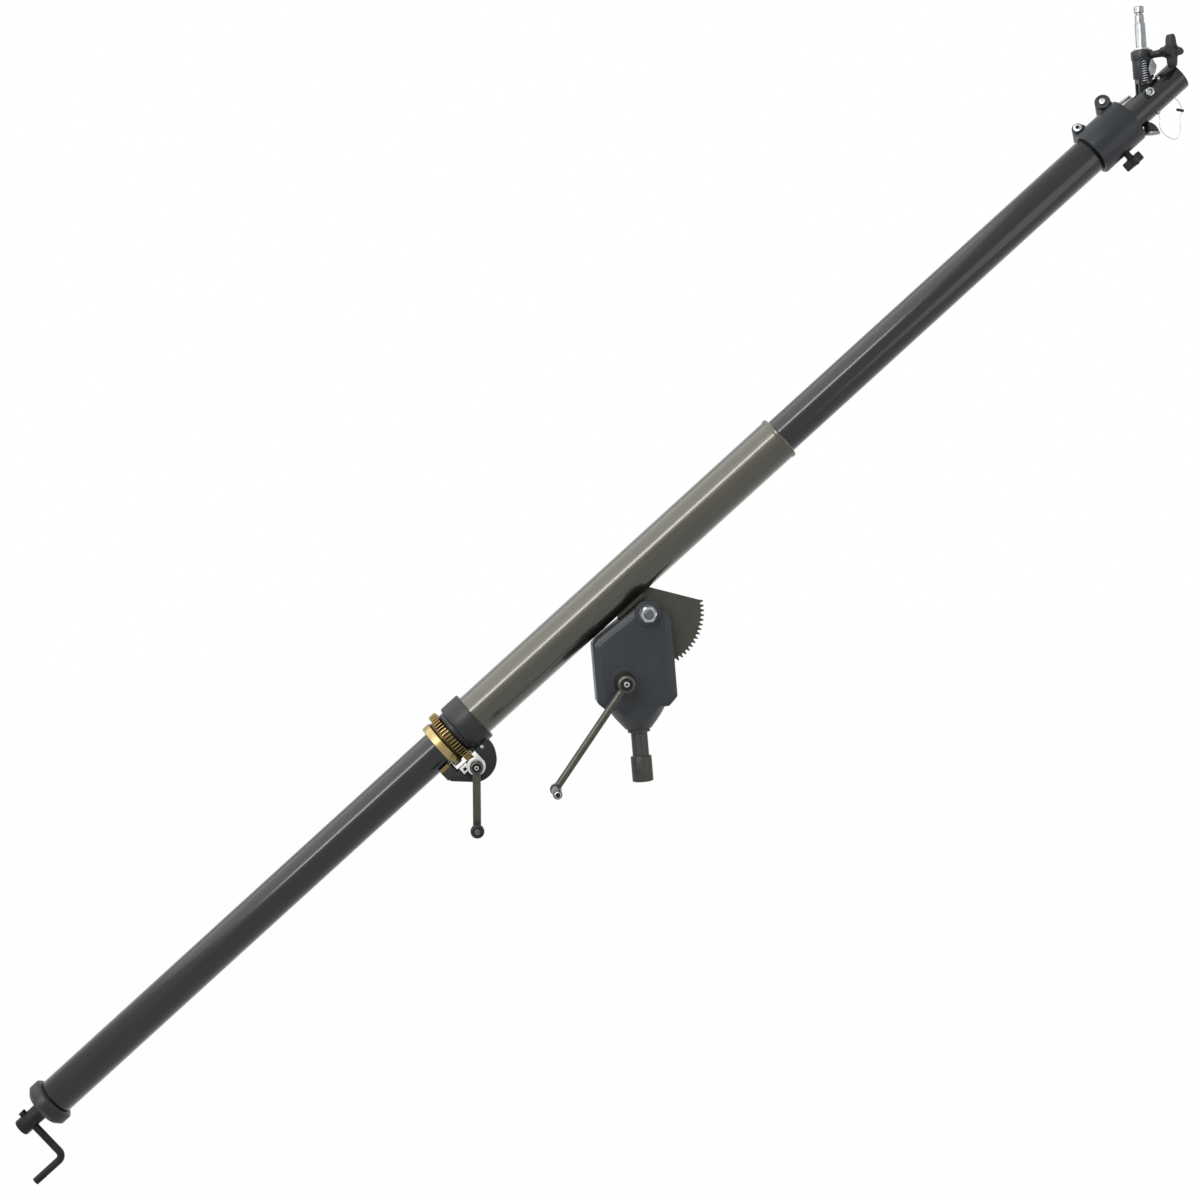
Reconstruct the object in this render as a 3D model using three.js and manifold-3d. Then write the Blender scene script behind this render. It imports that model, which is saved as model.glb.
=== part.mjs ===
// Geared overhead boom arm: a telescoping tube carried at its middle by a stand-mounted housing, with three
// hand cranks. Frame: millimetres, +Z up along the stand spigot, origin at the centre of the spigot's
// bottom face, +X toward the tip of the boom, +Y away from the crank side.
// Boom frame: x is the station along the boom from the foot of the tilt pivot, z the height over its axis.
import * as THREE from "three";
import { mergeVertices } from "three/addons/utils/BufferGeometryUtils.js";
import Module from "manifold-3d";

const wasm = await Module();
wasm.setup();

// General fits
const GAP = 0.3;
const SLIDE = 0.35;
const MERGE = 1e-4;
const RADIAN = Math.PI / 180;
const ROUND = 24;
const FINE = 32;
const COARSE = 12;
const HEX = 6;

// Stand spigot and housing
const SPIGOT = { r: 14, top: 34, neckR: 11, neckTop: 66, flangeR: 15, flangeTop: 70.5, shankR: 9, shankTop: 92 };
SPIGOT.chamfer = 1.5;
const HOUSING = { halfX: 53, base: 99, corner: 12, leftTop: 188, halfY: 32, edge: 4, split: 0.15 };
const HOUSING_TOP = { leftX: -45, leftZ: 197, bossX: 12, bossZ: 235, rightX: 47, rightZ: 224.5, sideZ: 212 };
const NECK = { topR: 41, midR: 30, midZ: 86, endR: 17.5, end: 70.8 };
const CAVITY = { wall: 6, halfY: 25, gearHalfY: 4.7, bossR: 15, top: 186 };
const PIVOT = { x: 22.5, z: 223, drop: 52, boltR: 6, bossR: 17.5, bossOut: 2.5 };
const NUT = { r: 10.9, thick: 10, washerR: 12, washer: 2, tail: 2 };

// Tilt gearing: a toothed sector on the sleeve and a pinion on the crank shaft
const TILT = { module: 2, sectorTeeth: 75, pinionTeeth: 20, halfFace: 4, backlash: 0.3, meshAngle: -113.3 };
const SECTOR = { first: 6.5, last: -129, topFront: 26, topBack: -31, hubR: 15.5, rootShare: 0.86 };
const SADDLE = { front: 13, back: -31, halfY: 11, thick: 3.2 };
const TILT_SHAFT = { r: 7, back: 35, hubR: 12, hubFace: 27, ringR: 15, ring: 3, eye: 7.5, armY: 19.5 };
const TILT_ARM = { r: 5, length: 165, angle: -128.9, gripR: 6.2, gripLength: 50, pinR: 3, pinHead: 4.6 };

// Boom tubes, stations along the boom
const RISE = 37.3;
const SLEEVE = { r: 30, bore: 27, back: -278, front: 287, lipR: 31.4, lip: 5 };
const BUSH = { r: 26.7, bore: 25.35, length: 26 };
const MAIN = { r: 25, bore: 22.5, back: -1025, front: 872 };
const TIP = { r: 20, bore: 17.5, back: -950, front: MAIN.front + 128 };
const GUIDE = { frontStart: MAIN.front - 34, rearLength: 30 };
const REAR = { r: 32, start: -1026, end: -1005, chamfer: 6, plugEnd: -1003, boreR: 7.4 };
const DRIVE = { rodR: 3, boreR: 3.42, tubeR: 6, tubeBack: -999, rodBack: -948, guideR: 17.1 };
DRIVE.tubeFront = MAIN.front - 22;
DRIVE.guide = 10;
const STUB = { r: 11.5, back: -1066, face: -1026.3, shankR: 7, shankEnd: -999.4, chamfer: 1.5 };
const CRANK_ROD = { r: 5, station: -1050, out: 16, drop: 65, bend: 9, handle: 50 };

// Roll gearing: a worm wheel round the main tube and a worm across the boom below it
const ROLL = { module: 1.5, teeth: 50, wormR: 11, backlash: 0.34, station: -300.5, halfFace: 5, wormHalf: 12 };
const WHEEL = { flangeR: 33, flangeBack: -322, flangeFront: -311, grooveR: 30.5 };
const COLLAR = { smallR: 31, smallBack: -294.6, step: -287, r: 36, front: -258.5, chamfer: 1.2 };
const PLATE = { inner: 13, thick: 4, arcX: 2.5, arcZ: 8.5, arcR: 31, right: 38.5, notchBack: -24.5 };
PLATE.notchFront = 7.5;
PLATE.notchTop = 9.6;
PLATE.left = -41.5;
PLATE.leftTop = 21.5;
PLATE.leftLow = 6.5;
PLATE.backX = -38.5;
PLATE.backTop = 23.5;
const BLOCK = { r: 12.4, thick: 12.5, lugX: 6.2, lugEnd: 12.2, lugTop: 16.5, backX: -18.5, backEnd: -7 };
BLOCK.backLow = 3;
BLOCK.backTop = 12.6;
const SHOE = { back: -342, front: -328, depth: 39.5, halfY: 12.7 };
const WORM = { shaftR: 5, near: 46, far: 17.3, collarR: 8.2, collar: 3, step: 30.1 };
const ROLL_ARM = { hubR: 8.8, hub: 20, width: 10.5, thick: 5, length: 80.5, angle: -94.5, knobR: 9, knob: 25 };
ROLL_ARM.pinR = 2.5;
ROLL_ARM.pinHead = 4;

// Clamp on the front of the main tube
const CLAMP = { r: 32, back: MAIN.front - 28, front: MAIN.front + 40, roll: -28, chamfer: 1.5, slitHalf: 0.8 };
const LUG = { x: MAIN.front - 19, z: 33, r: 8, halfY: 17 };
const BOSS = { x: MAIN.front + 30, z: 38, r: 10.5, halfY: 17, footHalf: 12 };
const CLAMP_SCREW = { r: 3.4, headR: 5.5, head: 4 };
const LOCK_KNOB = { x: MAIN.front + 8, neckR: 4.5, neck: 7, r: 14.5, thick: 12, waist: 9.5, lobes: 4 };
const LEVER = { r: 2.6, length: 42, hubR: 6.5, hub: 7, angle: -8 };

// Tilting head on the tip tube
const HEAD = { station: TIP.front - 50, rise: 11, boltR: 3, bossR: 7, bossY: 21 };
HEAD.slotBack = HEAD.station - 17;
HEAD.slotFront = HEAD.station + 27;
HEAD.slotHalf = 10.7;
const HOLDER = { cheekR: 9.5, cheekIn: 5.6, cheekOut: 10, neck: 20, r: 13.5, collarZ: 45, collarR: 14.6, top: 57 };
HOLDER.web = 14;
HOLDER.boreR = 7.3;
HOLDER.boreFloor = 24;
const HEAD_GEAR = { module: 1, teeth: 14, wormR: 4, backlash: 0.26, halfFace: 3, hubR: 5, hubY: 5.3, wormHalf: 8 };
const STUD = { r: 7, floor: 24.4, step: 92, upperR: 6, groove: 103, grooveR: 4.6, groove2: 106.5, headR: 6.6 };
STUD.top = 115;
STUD.ringR = 10.5;
STUD.ring = 2.6;
const STUD_KNOB = { turn: 40, z: 49, neckR: 4.6, start: 15.1, neckEnd: 38, end: 51, r: 23, waist: 12.5, lobes: 4 };
const SPRING = { x: -3.6, y: -20.3, low: 12, high: 42, r: 3.4, wire: 0.6, curls: 9, steps: 8, sides: 5 };
const BRACKET = { left: -8, right: 0.9, near: -15.8, far: -13.85, ear: -24.6, earThick: 2, pinR: 2 };
const LATCH = { near: -18.6, far: -13.9 };
const LATCH_OUTLINE = { topX: 8, topZ: 43.6, outX: 13.5, outZ: 34, lowX: 11, lowZ: 24, toeX: 4.2, toeZ: 21 };
LATCH_OUTLINE.inX = 1.8;
LATCH_OUTLINE.inZ = 30;
LATCH_OUTLINE.upX = 4.4;
LATCH_OUTLINE.upZ = 38;
const LOWER = { x: 6, r: 10, top: -26, low: -50, discR: 10.6, disc: 3.6 };
const TIP_PLUG = { back: TIP.front - 21.5, bore: 3.4, boreEnd: TIP.front - 12, rodEnd: TIP.front - 14 };
const ROD_BEARING = { back: HEAD.station - 34, front: HEAD.station - 22 };
const WIRE = { r: 0.5, steps: 36, sides: 8, ferruleR: 1.9, ferruleBack: 7.5, ferruleFront: 2.5, ferruleAngle: -52 };
const FERRULE = { x: HEAD.station + 18.6, y: -14.6, z: -37 };
const LANYARD = [
  [HEAD.station - 6, -12, -16.9],
  [HEAD.station - 10, -15.5, -23.5],
  [HEAD.station - 19, -17.5, -34],
  [HEAD.station - 20, -17.5, -46],
  [HEAD.station - 13.5, -17.5, -59],
  [HEAD.station - 2, -17, -56],
  [HEAD.station + 9, -16, -43],
  [FERRULE.x, FERRULE.y, FERRULE.z],
  [HEAD.station + 23, -14, -26],
  [HEAD.station + 23, -12, -16.9],
];

// Surface finishes, from the paint and metal of each piece
function finish(color, roughness, metalness) {
  return () => new THREE.MeshStandardMaterial({ color, roughness, metalness });
}
const satinBlack = finish(0x26282b, 0.42, 0.5);
const gunmetal = finish(0x5b5b50, 0.35, 0.8);
const castPaint = finish(0x35393e, 0.5, 0.3);
const phosphate = finish(0x4b4c46, 0.55, 0.6);
const brass = finish(0xb4925a, 0.35, 0.9);
const zinc = finish(0xc9ccce, 0.3, 0.95);
const chrome = finish(0xe4e6e8, 0.12, 1);
const plastic = finish(0x1f2022, 0.6, 0);
const aluminium = finish(0xe2e3e2, 0.45, 0.7);
const greyZinc = finish(0x8f9294, 0.5, 0.7);
const bronze = finish(0x8a6a3c, 0.5, 0.7);
const blackOxide = finish(0x2e2f30, 0.5, 0.6);

// A closed geometry as a solid, with triangles that fold to a line left out
function solidOf(geometry) {
  const loose = geometry.index ? geometry.toNonIndexed() : geometry;
  const bare = new THREE.BufferGeometry();
  bare.setAttribute("position", loose.getAttribute("position"));
  const merged = mergeVertices(bare, MERGE);
  const index = merged.index.array;
  const kept = [];
  for (let i = 0; i < index.length; i += 3) {
    const [a, b, c] = [index[i], index[i + 1], index[i + 2]];
    if (a !== b && b !== c && c !== a) kept.push(a, b, c);
  }
  const vertProperties = merged.attributes.position.array;
  return new wasm.Manifold(new wasm.Mesh({ numProp: 3, vertProperties, triVerts: new Uint32Array(kept) }));
}

function geometryOf(solid) {
  const data = solid.getMesh();
  const geometry = new THREE.BufferGeometry();
  geometry.setAttribute("position", new THREE.BufferAttribute(new Float32Array(data.vertProperties), 3));
  geometry.setIndex(new THREE.BufferAttribute(new Uint32Array(data.triVerts), 1));
  geometry.computeVertexNormals();
  return geometry;
}

function joined(...geometries) {
  const solids = geometries.map(solidOf);
  return geometryOf(solids.reduce((whole, next) => whole.add(next)));
}

function cut(geometry, ...tools) {
  return geometryOf(tools.map(solidOf).reduce((whole, tool) => whole.subtract(tool), solidOf(geometry)));
}

function common(first, second) {
  return geometryOf(solidOf(first).intersect(solidOf(second)));
}

// A named piece, added to its group
function piece(group, name, geometry, material) {
  const mesh = new THREE.Mesh(geometryOf(solidOf(geometry)), material());
  mesh.name = name;
  group.add(mesh);
  return mesh;
}

// A body turned about one axis, from [radius, height] pairs that run up its outside
function turned(axis, profile, sides = ROUND, start = 0) {
  const points = profile.map(([radius, height]) => new THREE.Vector2(radius, height));
  const body = new THREE.LatheGeometry(points, sides, start * RADIAN);
  if (axis === "x") body.rotateZ(-90 * RADIAN);
  if (axis === "z") body.rotateX(90 * RADIAN);
  return body;
}

function rod(axis, radius, from, to, sides = ROUND) {
  return turned(axis, [[0, from], [radius, from], [radius, to], [0, to]], sides);
}

function ring(axis, radius, bore, from, to, sides = ROUND) {
  return turned(axis, [[bore, from], [radius, from], [radius, to], [bore, to], [bore, from]], sides);
}

function chamferedRod(axis, radius, from, to, edge, sides = ROUND) {
  const profile = [[0, from], [radius - edge, from], [radius, from + edge], [radius, to - edge], [radius - edge, to], [0, to]];
  return turned(axis, profile, sides);
}

function block(minX, maxX, minY, maxY, minZ, maxZ) {
  const body = new THREE.BoxGeometry(maxX - minX, maxY - minY, maxZ - minZ);
  return body.translate((minX + maxX) / 2, (minY + maxY) / 2, (minZ + maxZ) / 2);
}

// A flat plate whose outline lies in the XZ plane, between two depths along Y
function plate(outline, nearY, farY, edge = 0, bevelSegments = 1) {
  const shape = new THREE.Shape(outline.map(([x, z]) => new THREE.Vector2(x, z)));
  const depth = farY - nearY - 2 * edge;
  const rounding = { bevelEnabled: edge > 0, bevelThickness: edge, bevelSize: edge, bevelOffset: -edge };
  const body = new THREE.ExtrudeGeometry(shape, { depth, bevelSegments, ...rounding });
  return body.rotateX(90 * RADIAN).translate(0, farY - edge, 0);
}

function circleOutline(centreX, centreZ, radius, from, to, steps) {
  const points = [];
  for (let i = 0; i <= steps; i++) {
    const angle = (from + ((to - from) * i) / steps) * RADIAN;
    points.push([centreX + radius * Math.cos(angle), centreZ + radius * Math.sin(angle)]);
  }
  return points;
}

// A round bar swept along a curve
function bar(curve, radius, steps, sides) {
  const section = new THREE.Shape();
  for (let i = 0; i < sides; i++) {
    const angle = (2 * Math.PI * i) / sides;
    const [x, y] = [radius * Math.cos(angle), radius * Math.sin(angle)];
    if (i === 0) section.moveTo(x, y);
    else section.lineTo(x, y);
  }
  section.closePath();
  return new THREE.ExtrudeGeometry(section, { steps, extrudePath: curve, bevelEnabled: false });
}

// Involute teeth as [radius, angle] pairs, each tooth centred on a whole number of pitches from the first
function involute(angle) {
  return Math.tan(angle) - angle;
}

const PRESSURE = 20 * RADIAN;
const ROOT_SHARE = 1.25;
const FLANK_STEPS = 2;

function toothFlank(module, teeth, backlash) {
  const pitch = (module * teeth) / 2;
  const base = pitch * Math.cos(PRESSURE);
  const root = pitch - ROOT_SHARE * module;
  const half = Math.PI / (2 * teeth) - backlash / (2 * pitch) + involute(PRESSURE);
  const flank = [];
  if (root < base) flank.push([root, half]);
  const low = Math.max(root, base);
  for (let i = 0; i < FLANK_STEPS; i++) {
    const radius = low + ((pitch + module - low) * i) / (FLANK_STEPS - 1);
    const roll = Math.acos(Math.min(1, base / radius));
    flank.push([radius, half - involute(roll)]);
  }
  return flank;
}

function toothRow(module, teeth, backlash, count, firstAngle) {
  const flank = toothFlank(module, teeth, backlash);
  const points = [];
  for (let i = 0; i < count; i++) {
    const centre = firstAngle + (2 * Math.PI * i) / teeth;
    for (const [radius, half] of flank) points.push([radius, centre - half]);
    for (const [radius, half] of [...flank].reverse()) points.push([radius, centre + half]);
  }
  return points;
}

function polar(pairs) {
  return pairs.map(([radius, angle]) => [radius * Math.cos(angle), radius * Math.sin(angle)]);
}

const AROUND_X = new THREE.Matrix4().makeBasis(
  new THREE.Vector3(0, 1, 0),
  new THREE.Vector3(0, 0, 1),
  new THREE.Vector3(1, 0, 0),
);
const AROUND_Y = new THREE.Matrix4().makeBasis(
  new THREE.Vector3(0, 0, 1),
  new THREE.Vector3(1, 0, 0),
  new THREE.Vector3(0, 1, 0),
);

// A gear with right-hand helical teeth; one tooth is centred on firstAngle at the middle of the face
function helicalGear({ module, teeth, backlash, halfFace }, slope, firstAngle, toAxis) {
  const outline = polar(toothRow(module, teeth, backlash, teeth, firstAngle));
  const shape = new THREE.Shape(outline.map(([x, y]) => new THREE.Vector2(x, y)));
  const body = new THREE.ExtrudeGeometry(shape, { depth: 2 * halfFace, steps: 1, bevelEnabled: false });
  body.translate(0, 0, -halfFace);
  const place = body.getAttribute("position");
  const pitch = (module * teeth) / 2;
  for (let i = 0; i < place.count; i++) {
    const turn = (place.getZ(i) * slope) / pitch;
    const [x, y] = [place.getX(i), place.getY(i)];
    place.setXY(i, x * Math.cos(turn) - y * Math.sin(turn), x * Math.sin(turn) + y * Math.cos(turn));
  }
  return body.applyMatrix4(toAxis);
}

// A right-hand single-start worm, cut flat at both ends; a space between threads faces gapAngle at mid length
const WORM_STEPS = 12;

function wormThread({ module, wormR, backlash, wormHalf }, gapAngle, toAxis) {
  const lead = Math.PI * module;
  const root = wormR - ROOT_SHARE * module;
  const tip = wormR + module;
  const half = lead / 4 - backlash / 2;
  const rootHalf = half + (wormR - root) * Math.tan(PRESSURE);
  const tipHalf = half - module * Math.tan(PRESSURE);
  const section = [[root, -rootHalf], [tip, -tipHalf], [tip, tipHalf], [root, rootHalf]];
  const per = section.length;
  const turns = Math.ceil((2 * wormHalf) / lead) + 3;
  const rows = per * turns;
  const low = -(Math.ceil(wormHalf / lead) + 2) * lead + lead / 2;
  const vertices = [];
  const vertexAt = [];
  for (let i = 0; i < WORM_STEPS; i++) {
    const angle = (2 * Math.PI * i) / WORM_STEPS;
    const column = [];
    const count = i === 0 ? rows + per : rows;
    for (let j = 0; j < count; j++) {
      const [radius, offset] = section[j % per];
      const along = low + (lead * (angle - gapAngle)) / (2 * Math.PI) + lead * Math.floor(j / per) + offset;
      column.push(vertices.length / 3);
      vertices.push(radius * Math.cos(angle), radius * Math.sin(angle), along);
    }
    vertexAt.push(column);
  }
  const triangles = [];
  const neighbour = (i, j) => (i + 1 < WORM_STEPS ? vertexAt[i + 1][j] : vertexAt[0][j + per]);
  for (let i = 0; i < WORM_STEPS; i++) {
    for (let j = 0; j + 1 < rows; j++) {
      const [a, b, c, d] = [vertexAt[i][j], neighbour(i, j), neighbour(i, j + 1), vertexAt[i][j + 1]];
      triangles.push(a, b, d, b, c, d);
    }
  }
  const rim = (row) => {
    const loop = vertexAt.map((column) => column[row]);
    for (let j = row + per; j >= row; j--) loop.push(vertexAt[0][j]);
    return loop;
  };
  for (const [row, flip] of [[0, true], [rows - 1, false]]) {
    const loop = rim(row);
    const centre = vertices.length / 3;
    const first = vertices[3 * vertexAt[0][row] + 2];
    vertices.push(0, 0, first + lead / 2);
    for (let i = 0; i + 1 < loop.length; i++) {
      if (flip) triangles.push(centre, loop[i + 1], loop[i]);
      else triangles.push(centre, loop[i], loop[i + 1]);
    }
  }
  const body = new THREE.BufferGeometry();
  body.setAttribute("position", new THREE.Float32BufferAttribute(vertices, 3));
  body.setIndex(triangles);
  return common(body, rod("z", tip + module, -wormHalf, wormHalf, COARSE)).applyMatrix4(toAxis);
}

function moved(geometry, x, y, z) {
  return geometry.translate(x, y, z);
}

const model = new THREE.Group();

// Housing: two cast halves with a raised face, a slot for the sector and a neck down to the spigot
function housingOutline(inset) {
  const t = HOUSING_TOP;
  const h = HOUSING;
  const side = h.halfX - inset;
  return [
    [-side + h.corner, h.base + inset],
    [side - h.corner, h.base + inset],
    [side, h.base + h.corner + inset],
    [side, t.sideZ],
    [t.rightX - inset, t.rightZ - inset],
    [t.bossX, t.bossZ - inset],
    [t.leftX + inset, t.leftZ - inset],
    [-side, h.leftTop],
    [-side, h.base + h.corner + inset],
  ];
}

const tiltShaft = {
  x: PIVOT.x + (TILT.module * (TILT.sectorTeeth + TILT.pinionTeeth) * Math.cos(TILT.meshAngle * RADIAN)) / 2,
  z: PIVOT.z + (TILT.module * (TILT.sectorTeeth + TILT.pinionTeeth) * Math.sin(TILT.meshAngle * RADIAN)) / 2,
};
const sectorTip = (TILT.module * (TILT.sectorTeeth + 2)) / 2;
const pinionTip = (TILT.module * (TILT.pinionTeeth + 2)) / 2;

function addHousing() {
  const h = HOUSING;
  const out = h.halfY + PIVOT.bossOut;
  const casting = plate(housingOutline(0), -h.halfY, h.halfY, h.edge, 2);
  const boss = moved(rod("y", PIVOT.bossR, -out, out), PIVOT.x, 0, PIVOT.z);
  const neckProfile = [[0, NECK.end], [NECK.endR, NECK.end], [NECK.midR, NECK.midZ]];
  neckProfile.push([NECK.topR, h.base + h.edge], [0, h.base + h.edge]);
  const slab = block(-NECK.topR, NECK.topR, -h.halfY + h.edge, h.halfY - h.edge, 0, h.base + h.edge);
  const neck = common(turned("z", neckProfile), slab);
  const hollow = plate(housingOutline(CAVITY.wall), -CAVITY.halfY, CAVITY.halfY);
  const roof = block(-h.halfX, h.halfX, -h.halfY, h.halfY, CAVITY.top, PIVOT.z + h.halfX);
  const shaftBoss = moved(rod("y", CAVITY.bossR, -h.halfY, h.halfY), tiltShaft.x, 0, tiltShaft.z);
  const room = cut(hollow, roof, shaftBoss);
  const sectorRoom = moved(rod("y", sectorTip + 1.5, -CAVITY.gearHalfY, CAVITY.gearHalfY, FINE), PIVOT.x, 0, PIVOT.z);
  const hubRoom = moved(rod("y", SECTOR.hubR + 1, -SADDLE.halfY - 1, SADDLE.halfY + 1), PIVOT.x, 0, PIVOT.z);
  const pinionRoom = moved(rod("y", pinionTip + 1.5, -CAVITY.gearHalfY - 1, CAVITY.gearHalfY + 1), tiltShaft.x, 0, tiltShaft.z);
  const pivotBore = moved(rod("y", PIVOT.boltR + GAP, -2 * out, 2 * out, COARSE), PIVOT.x, 0, PIVOT.z);
  const shaftBore = moved(rod("y", TILT_SHAFT.r + GAP, -2 * out, 2 * out, COARSE), tiltShaft.x, 0, tiltShaft.z);
  const spigotBore = rod("z", SPIGOT.shankR + GAP, 0, SPIGOT.shankTop + GAP);
  const whole = cut(joined(casting, boss, neck), room, sectorRoom, hubRoom, pinionRoom, pivotBore, shaftBore, spigotBore);
  const far = 2 * h.halfX;
  const nearHalf = common(whole, block(-far, far, -far, -h.split, 0, PIVOT.z + far));
  const farHalf = common(whole, block(-far, far, h.split, far, 0, PIVOT.z + far));
  piece(model, "housing_near_half", nearHalf, castPaint);
  piece(model, "housing_far_half", farHalf, castPaint);
}

function addSpigot() {
  const s = SPIGOT;
  const profile = [[0, 0], [s.r - s.chamfer, 0], [s.r, s.chamfer], [s.r, s.top - s.chamfer], [s.r - s.chamfer, s.top]];
  profile.push([s.neckR, s.top], [s.neckR, s.neckTop], [s.flangeR, s.neckTop], [s.flangeR, s.flangeTop]);
  profile.push([s.shankR, s.flangeTop], [s.shankR, s.shankTop], [0, s.shankTop]);
  piece(model, "stand_spigot", turned("z", profile), phosphate);
}

function addPivotBolt() {
  const face = HOUSING.halfY + PIVOT.bossOut + GAP;
  const seat = face + NUT.washer;
  const nutFace = seat + GAP + NUT.thick;
  const shank = rod("y", PIVOT.boltR, -nutFace - NUT.tail, seat + GAP, COARSE);
  const head = rod("y", NUT.r, seat + GAP, seat + GAP + NUT.thick, HEX);
  const bolt = moved(joined(shank, head), PIVOT.x, 0, PIVOT.z);
  piece(model, "pivot_bolt", bolt, zinc);
  const hole = PIVOT.boltR + GAP;
  const nut = cut(rod("y", NUT.r, -nutFace, -seat - GAP, HEX), rod("y", hole, -2 * face, 0, COARSE));
  piece(model, "pivot_nut", moved(nut, PIVOT.x, 0, PIVOT.z), zinc);
  const near = ring("y", NUT.washerR, hole, -seat, -face, COARSE);
  const far = ring("y", NUT.washerR, hole, face, seat, COARSE);
  piece(model, "pivot_washer_near", moved(near, PIVOT.x, 0, PIVOT.z), zinc);
  piece(model, "pivot_washer_far", moved(far, PIVOT.x, 0, PIVOT.z), zinc);
}

// Tilt crank: pinion, shaft, arm and a grip that spins on its pin
function addTiltCrank() {
  const group = new THREE.Group();
  group.position.set(tiltShaft.x, 0, tiltShaft.z);
  model.add(group);
  const s = TILT_SHAFT;
  const a = TILT_ARM;
  const spaceAngle = (TILT.meshAngle + 180) * RADIAN + Math.PI / TILT.pinionTeeth;
  const row = toothRow(TILT.module, TILT.pinionTeeth, TILT.backlash, TILT.pinionTeeth, spaceAngle);
  const gear = plate(polar(row), -TILT.halfFace, TILT.halfFace);
  const hole = s.r + GAP;
  piece(group, "tilt_pinion", cut(gear, rod("y", hole, -HOUSING.halfY, HOUSING.halfY, COARSE)), phosphate);
  const face = -HOUSING.halfY - GAP;
  const hubStart = face - s.ring - GAP;
  const hubEnd = hubStart - s.hubFace;
  piece(group, "tilt_shaft", rod("y", s.r, hubEnd + s.ring, s.back), phosphate);
  piece(group, "tilt_shaft_ring", ring("y", s.ringR, hole, face - s.ring, face), blackOxide);
  const hub = chamferedRod("y", s.hubR, hubEnd, hubStart, 1);
  const direction = [Math.cos(a.angle * RADIAN), Math.sin(a.angle * RADIAN)];
  const armY = hubStart - s.armY;
  const start = new THREE.Vector3(direction[0] * s.r, armY, direction[1] * s.r);
  const end = new THREE.Vector3(direction[0] * a.length, armY, direction[1] * a.length);
  const arm = bar(new THREE.LineCurve3(start, end), a.r, 1, COARSE);
  const eye = moved(rod("y", s.eye, armY - a.r, armY + a.r, COARSE), end.x, 0, end.z);
  const pinHole = moved(rod("y", a.pinR + GAP, armY - s.hubFace, armY + s.hubFace, COARSE), end.x, 0, end.z);
  const shaftHole = rod("y", hole, hubEnd + s.ring - GAP, 0, COARSE);
  piece(group, "tilt_arm", cut(joined(hub, arm, eye), shaftHole, pinHole), phosphate);
  const gripBack = armY - a.r - SLIDE;
  const gripFace = gripBack - a.gripLength;
  const pinShank = rod("y", a.pinR, gripFace - SLIDE, armY + a.r + SLIDE, COARSE);
  const pinNear = chamferedRod("y", a.pinHead, gripFace - SLIDE - a.pinR, gripFace - SLIDE, GAP, COARSE);
  const pinFar = rod("y", a.pinHead, armY + a.r + SLIDE, armY + a.r + SLIDE + 1, COARSE);
  piece(group, "tilt_grip_pin", moved(joined(pinShank, pinNear, pinFar), end.x, 0, end.z), zinc);
  const bore = a.pinR + SLIDE;
  const profile = [[bore, gripFace], [a.gripR - 1, gripFace], [a.gripR, gripFace + 1], [a.gripR, gripBack - 1]];
  profile.push([a.gripR - 1, gripBack], [bore, gripBack], [bore, gripFace]);
  piece(group, "tilt_grip", moved(turned("y", profile, COARSE), end.x, 0, end.z), phosphate);
}

// Boom group: x along the boom toward the tip, z up from its axis
const boom = new THREE.Group();
boom.rotation.y = -RISE * RADIAN;
boom.position.set(
  PIVOT.x - PIVOT.drop * Math.sin(RISE * RADIAN),
  0,
  PIVOT.z + PIVOT.drop * Math.cos(RISE * RADIAN),
);
model.add(boom);

function addSleeve() {
  const s = SLEEVE;
  const rolled = s.front - s.lip;
  const profile = [[s.bore, s.back], [s.r, s.back], [s.r, rolled - 1], [s.lipR, rolled], [s.lipR, s.front - 1]];
  profile.push([s.lipR - 1, s.front], [s.bore, s.front], [s.bore, s.back]);
  piece(boom, "sleeve_tube", turned("x", profile, FINE), gunmetal);
  const front = s.front - 1;
  const back = s.back + 1;
  piece(boom, "sleeve_bush_front", ring("x", BUSH.r, BUSH.bore, front - BUSH.length, front), bronze);
  piece(boom, "sleeve_bush_rear", ring("x", BUSH.r, BUSH.bore, back, back + BUSH.length), bronze);
}

// Sector: involute teeth on an arc round the pivot, a hub on the bolt and a saddle under the sleeve
function addSector() {
  const pitchAngle = 360 / TILT.sectorTeeth;
  const below = Math.ceil((SECTOR.last - TILT.meshAngle) / pitchAngle);
  const above = Math.round((SECTOR.first - TILT.meshAngle) / pitchAngle);
  const firstAngle = (TILT.meshAngle + below * pitchAngle - RISE) * RADIAN;
  const row = toothRow(TILT.module, TILT.sectorTeeth, TILT.backlash, above - below + 1, firstAngle);
  const top = PIVOT.drop - SLEEVE.r - GAP;
  const outline = [...polar(row), [SECTOR.topFront, top], [SECTOR.topBack, top]];
  const web = plate(outline, -TILT.halfFace, TILT.halfFace);
  const hub = rod("y", SECTOR.hubR, -SADDLE.halfY, SADDLE.halfY);
  const under = top - SADDLE.thick + GAP;
  const saddle = block(SADDLE.back, SADDLE.front, -SADDLE.halfY, SADDLE.halfY, under, PIVOT.drop);
  const bore = rod("y", PIVOT.boltR + SLIDE, -HOUSING.halfY, HOUSING.halfY, COARSE);
  const bed = moved(rod("x", SLEEVE.r + GAP, SLEEVE.back, SLEEVE.front, FINE), 0, 0, PIVOT.drop);
  const sector = cut(joined(web, hub, saddle), bore, bed);
  piece(boom, "tilt_sector", moved(sector, 0, 0, -PIVOT.drop), phosphate);
}

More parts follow.
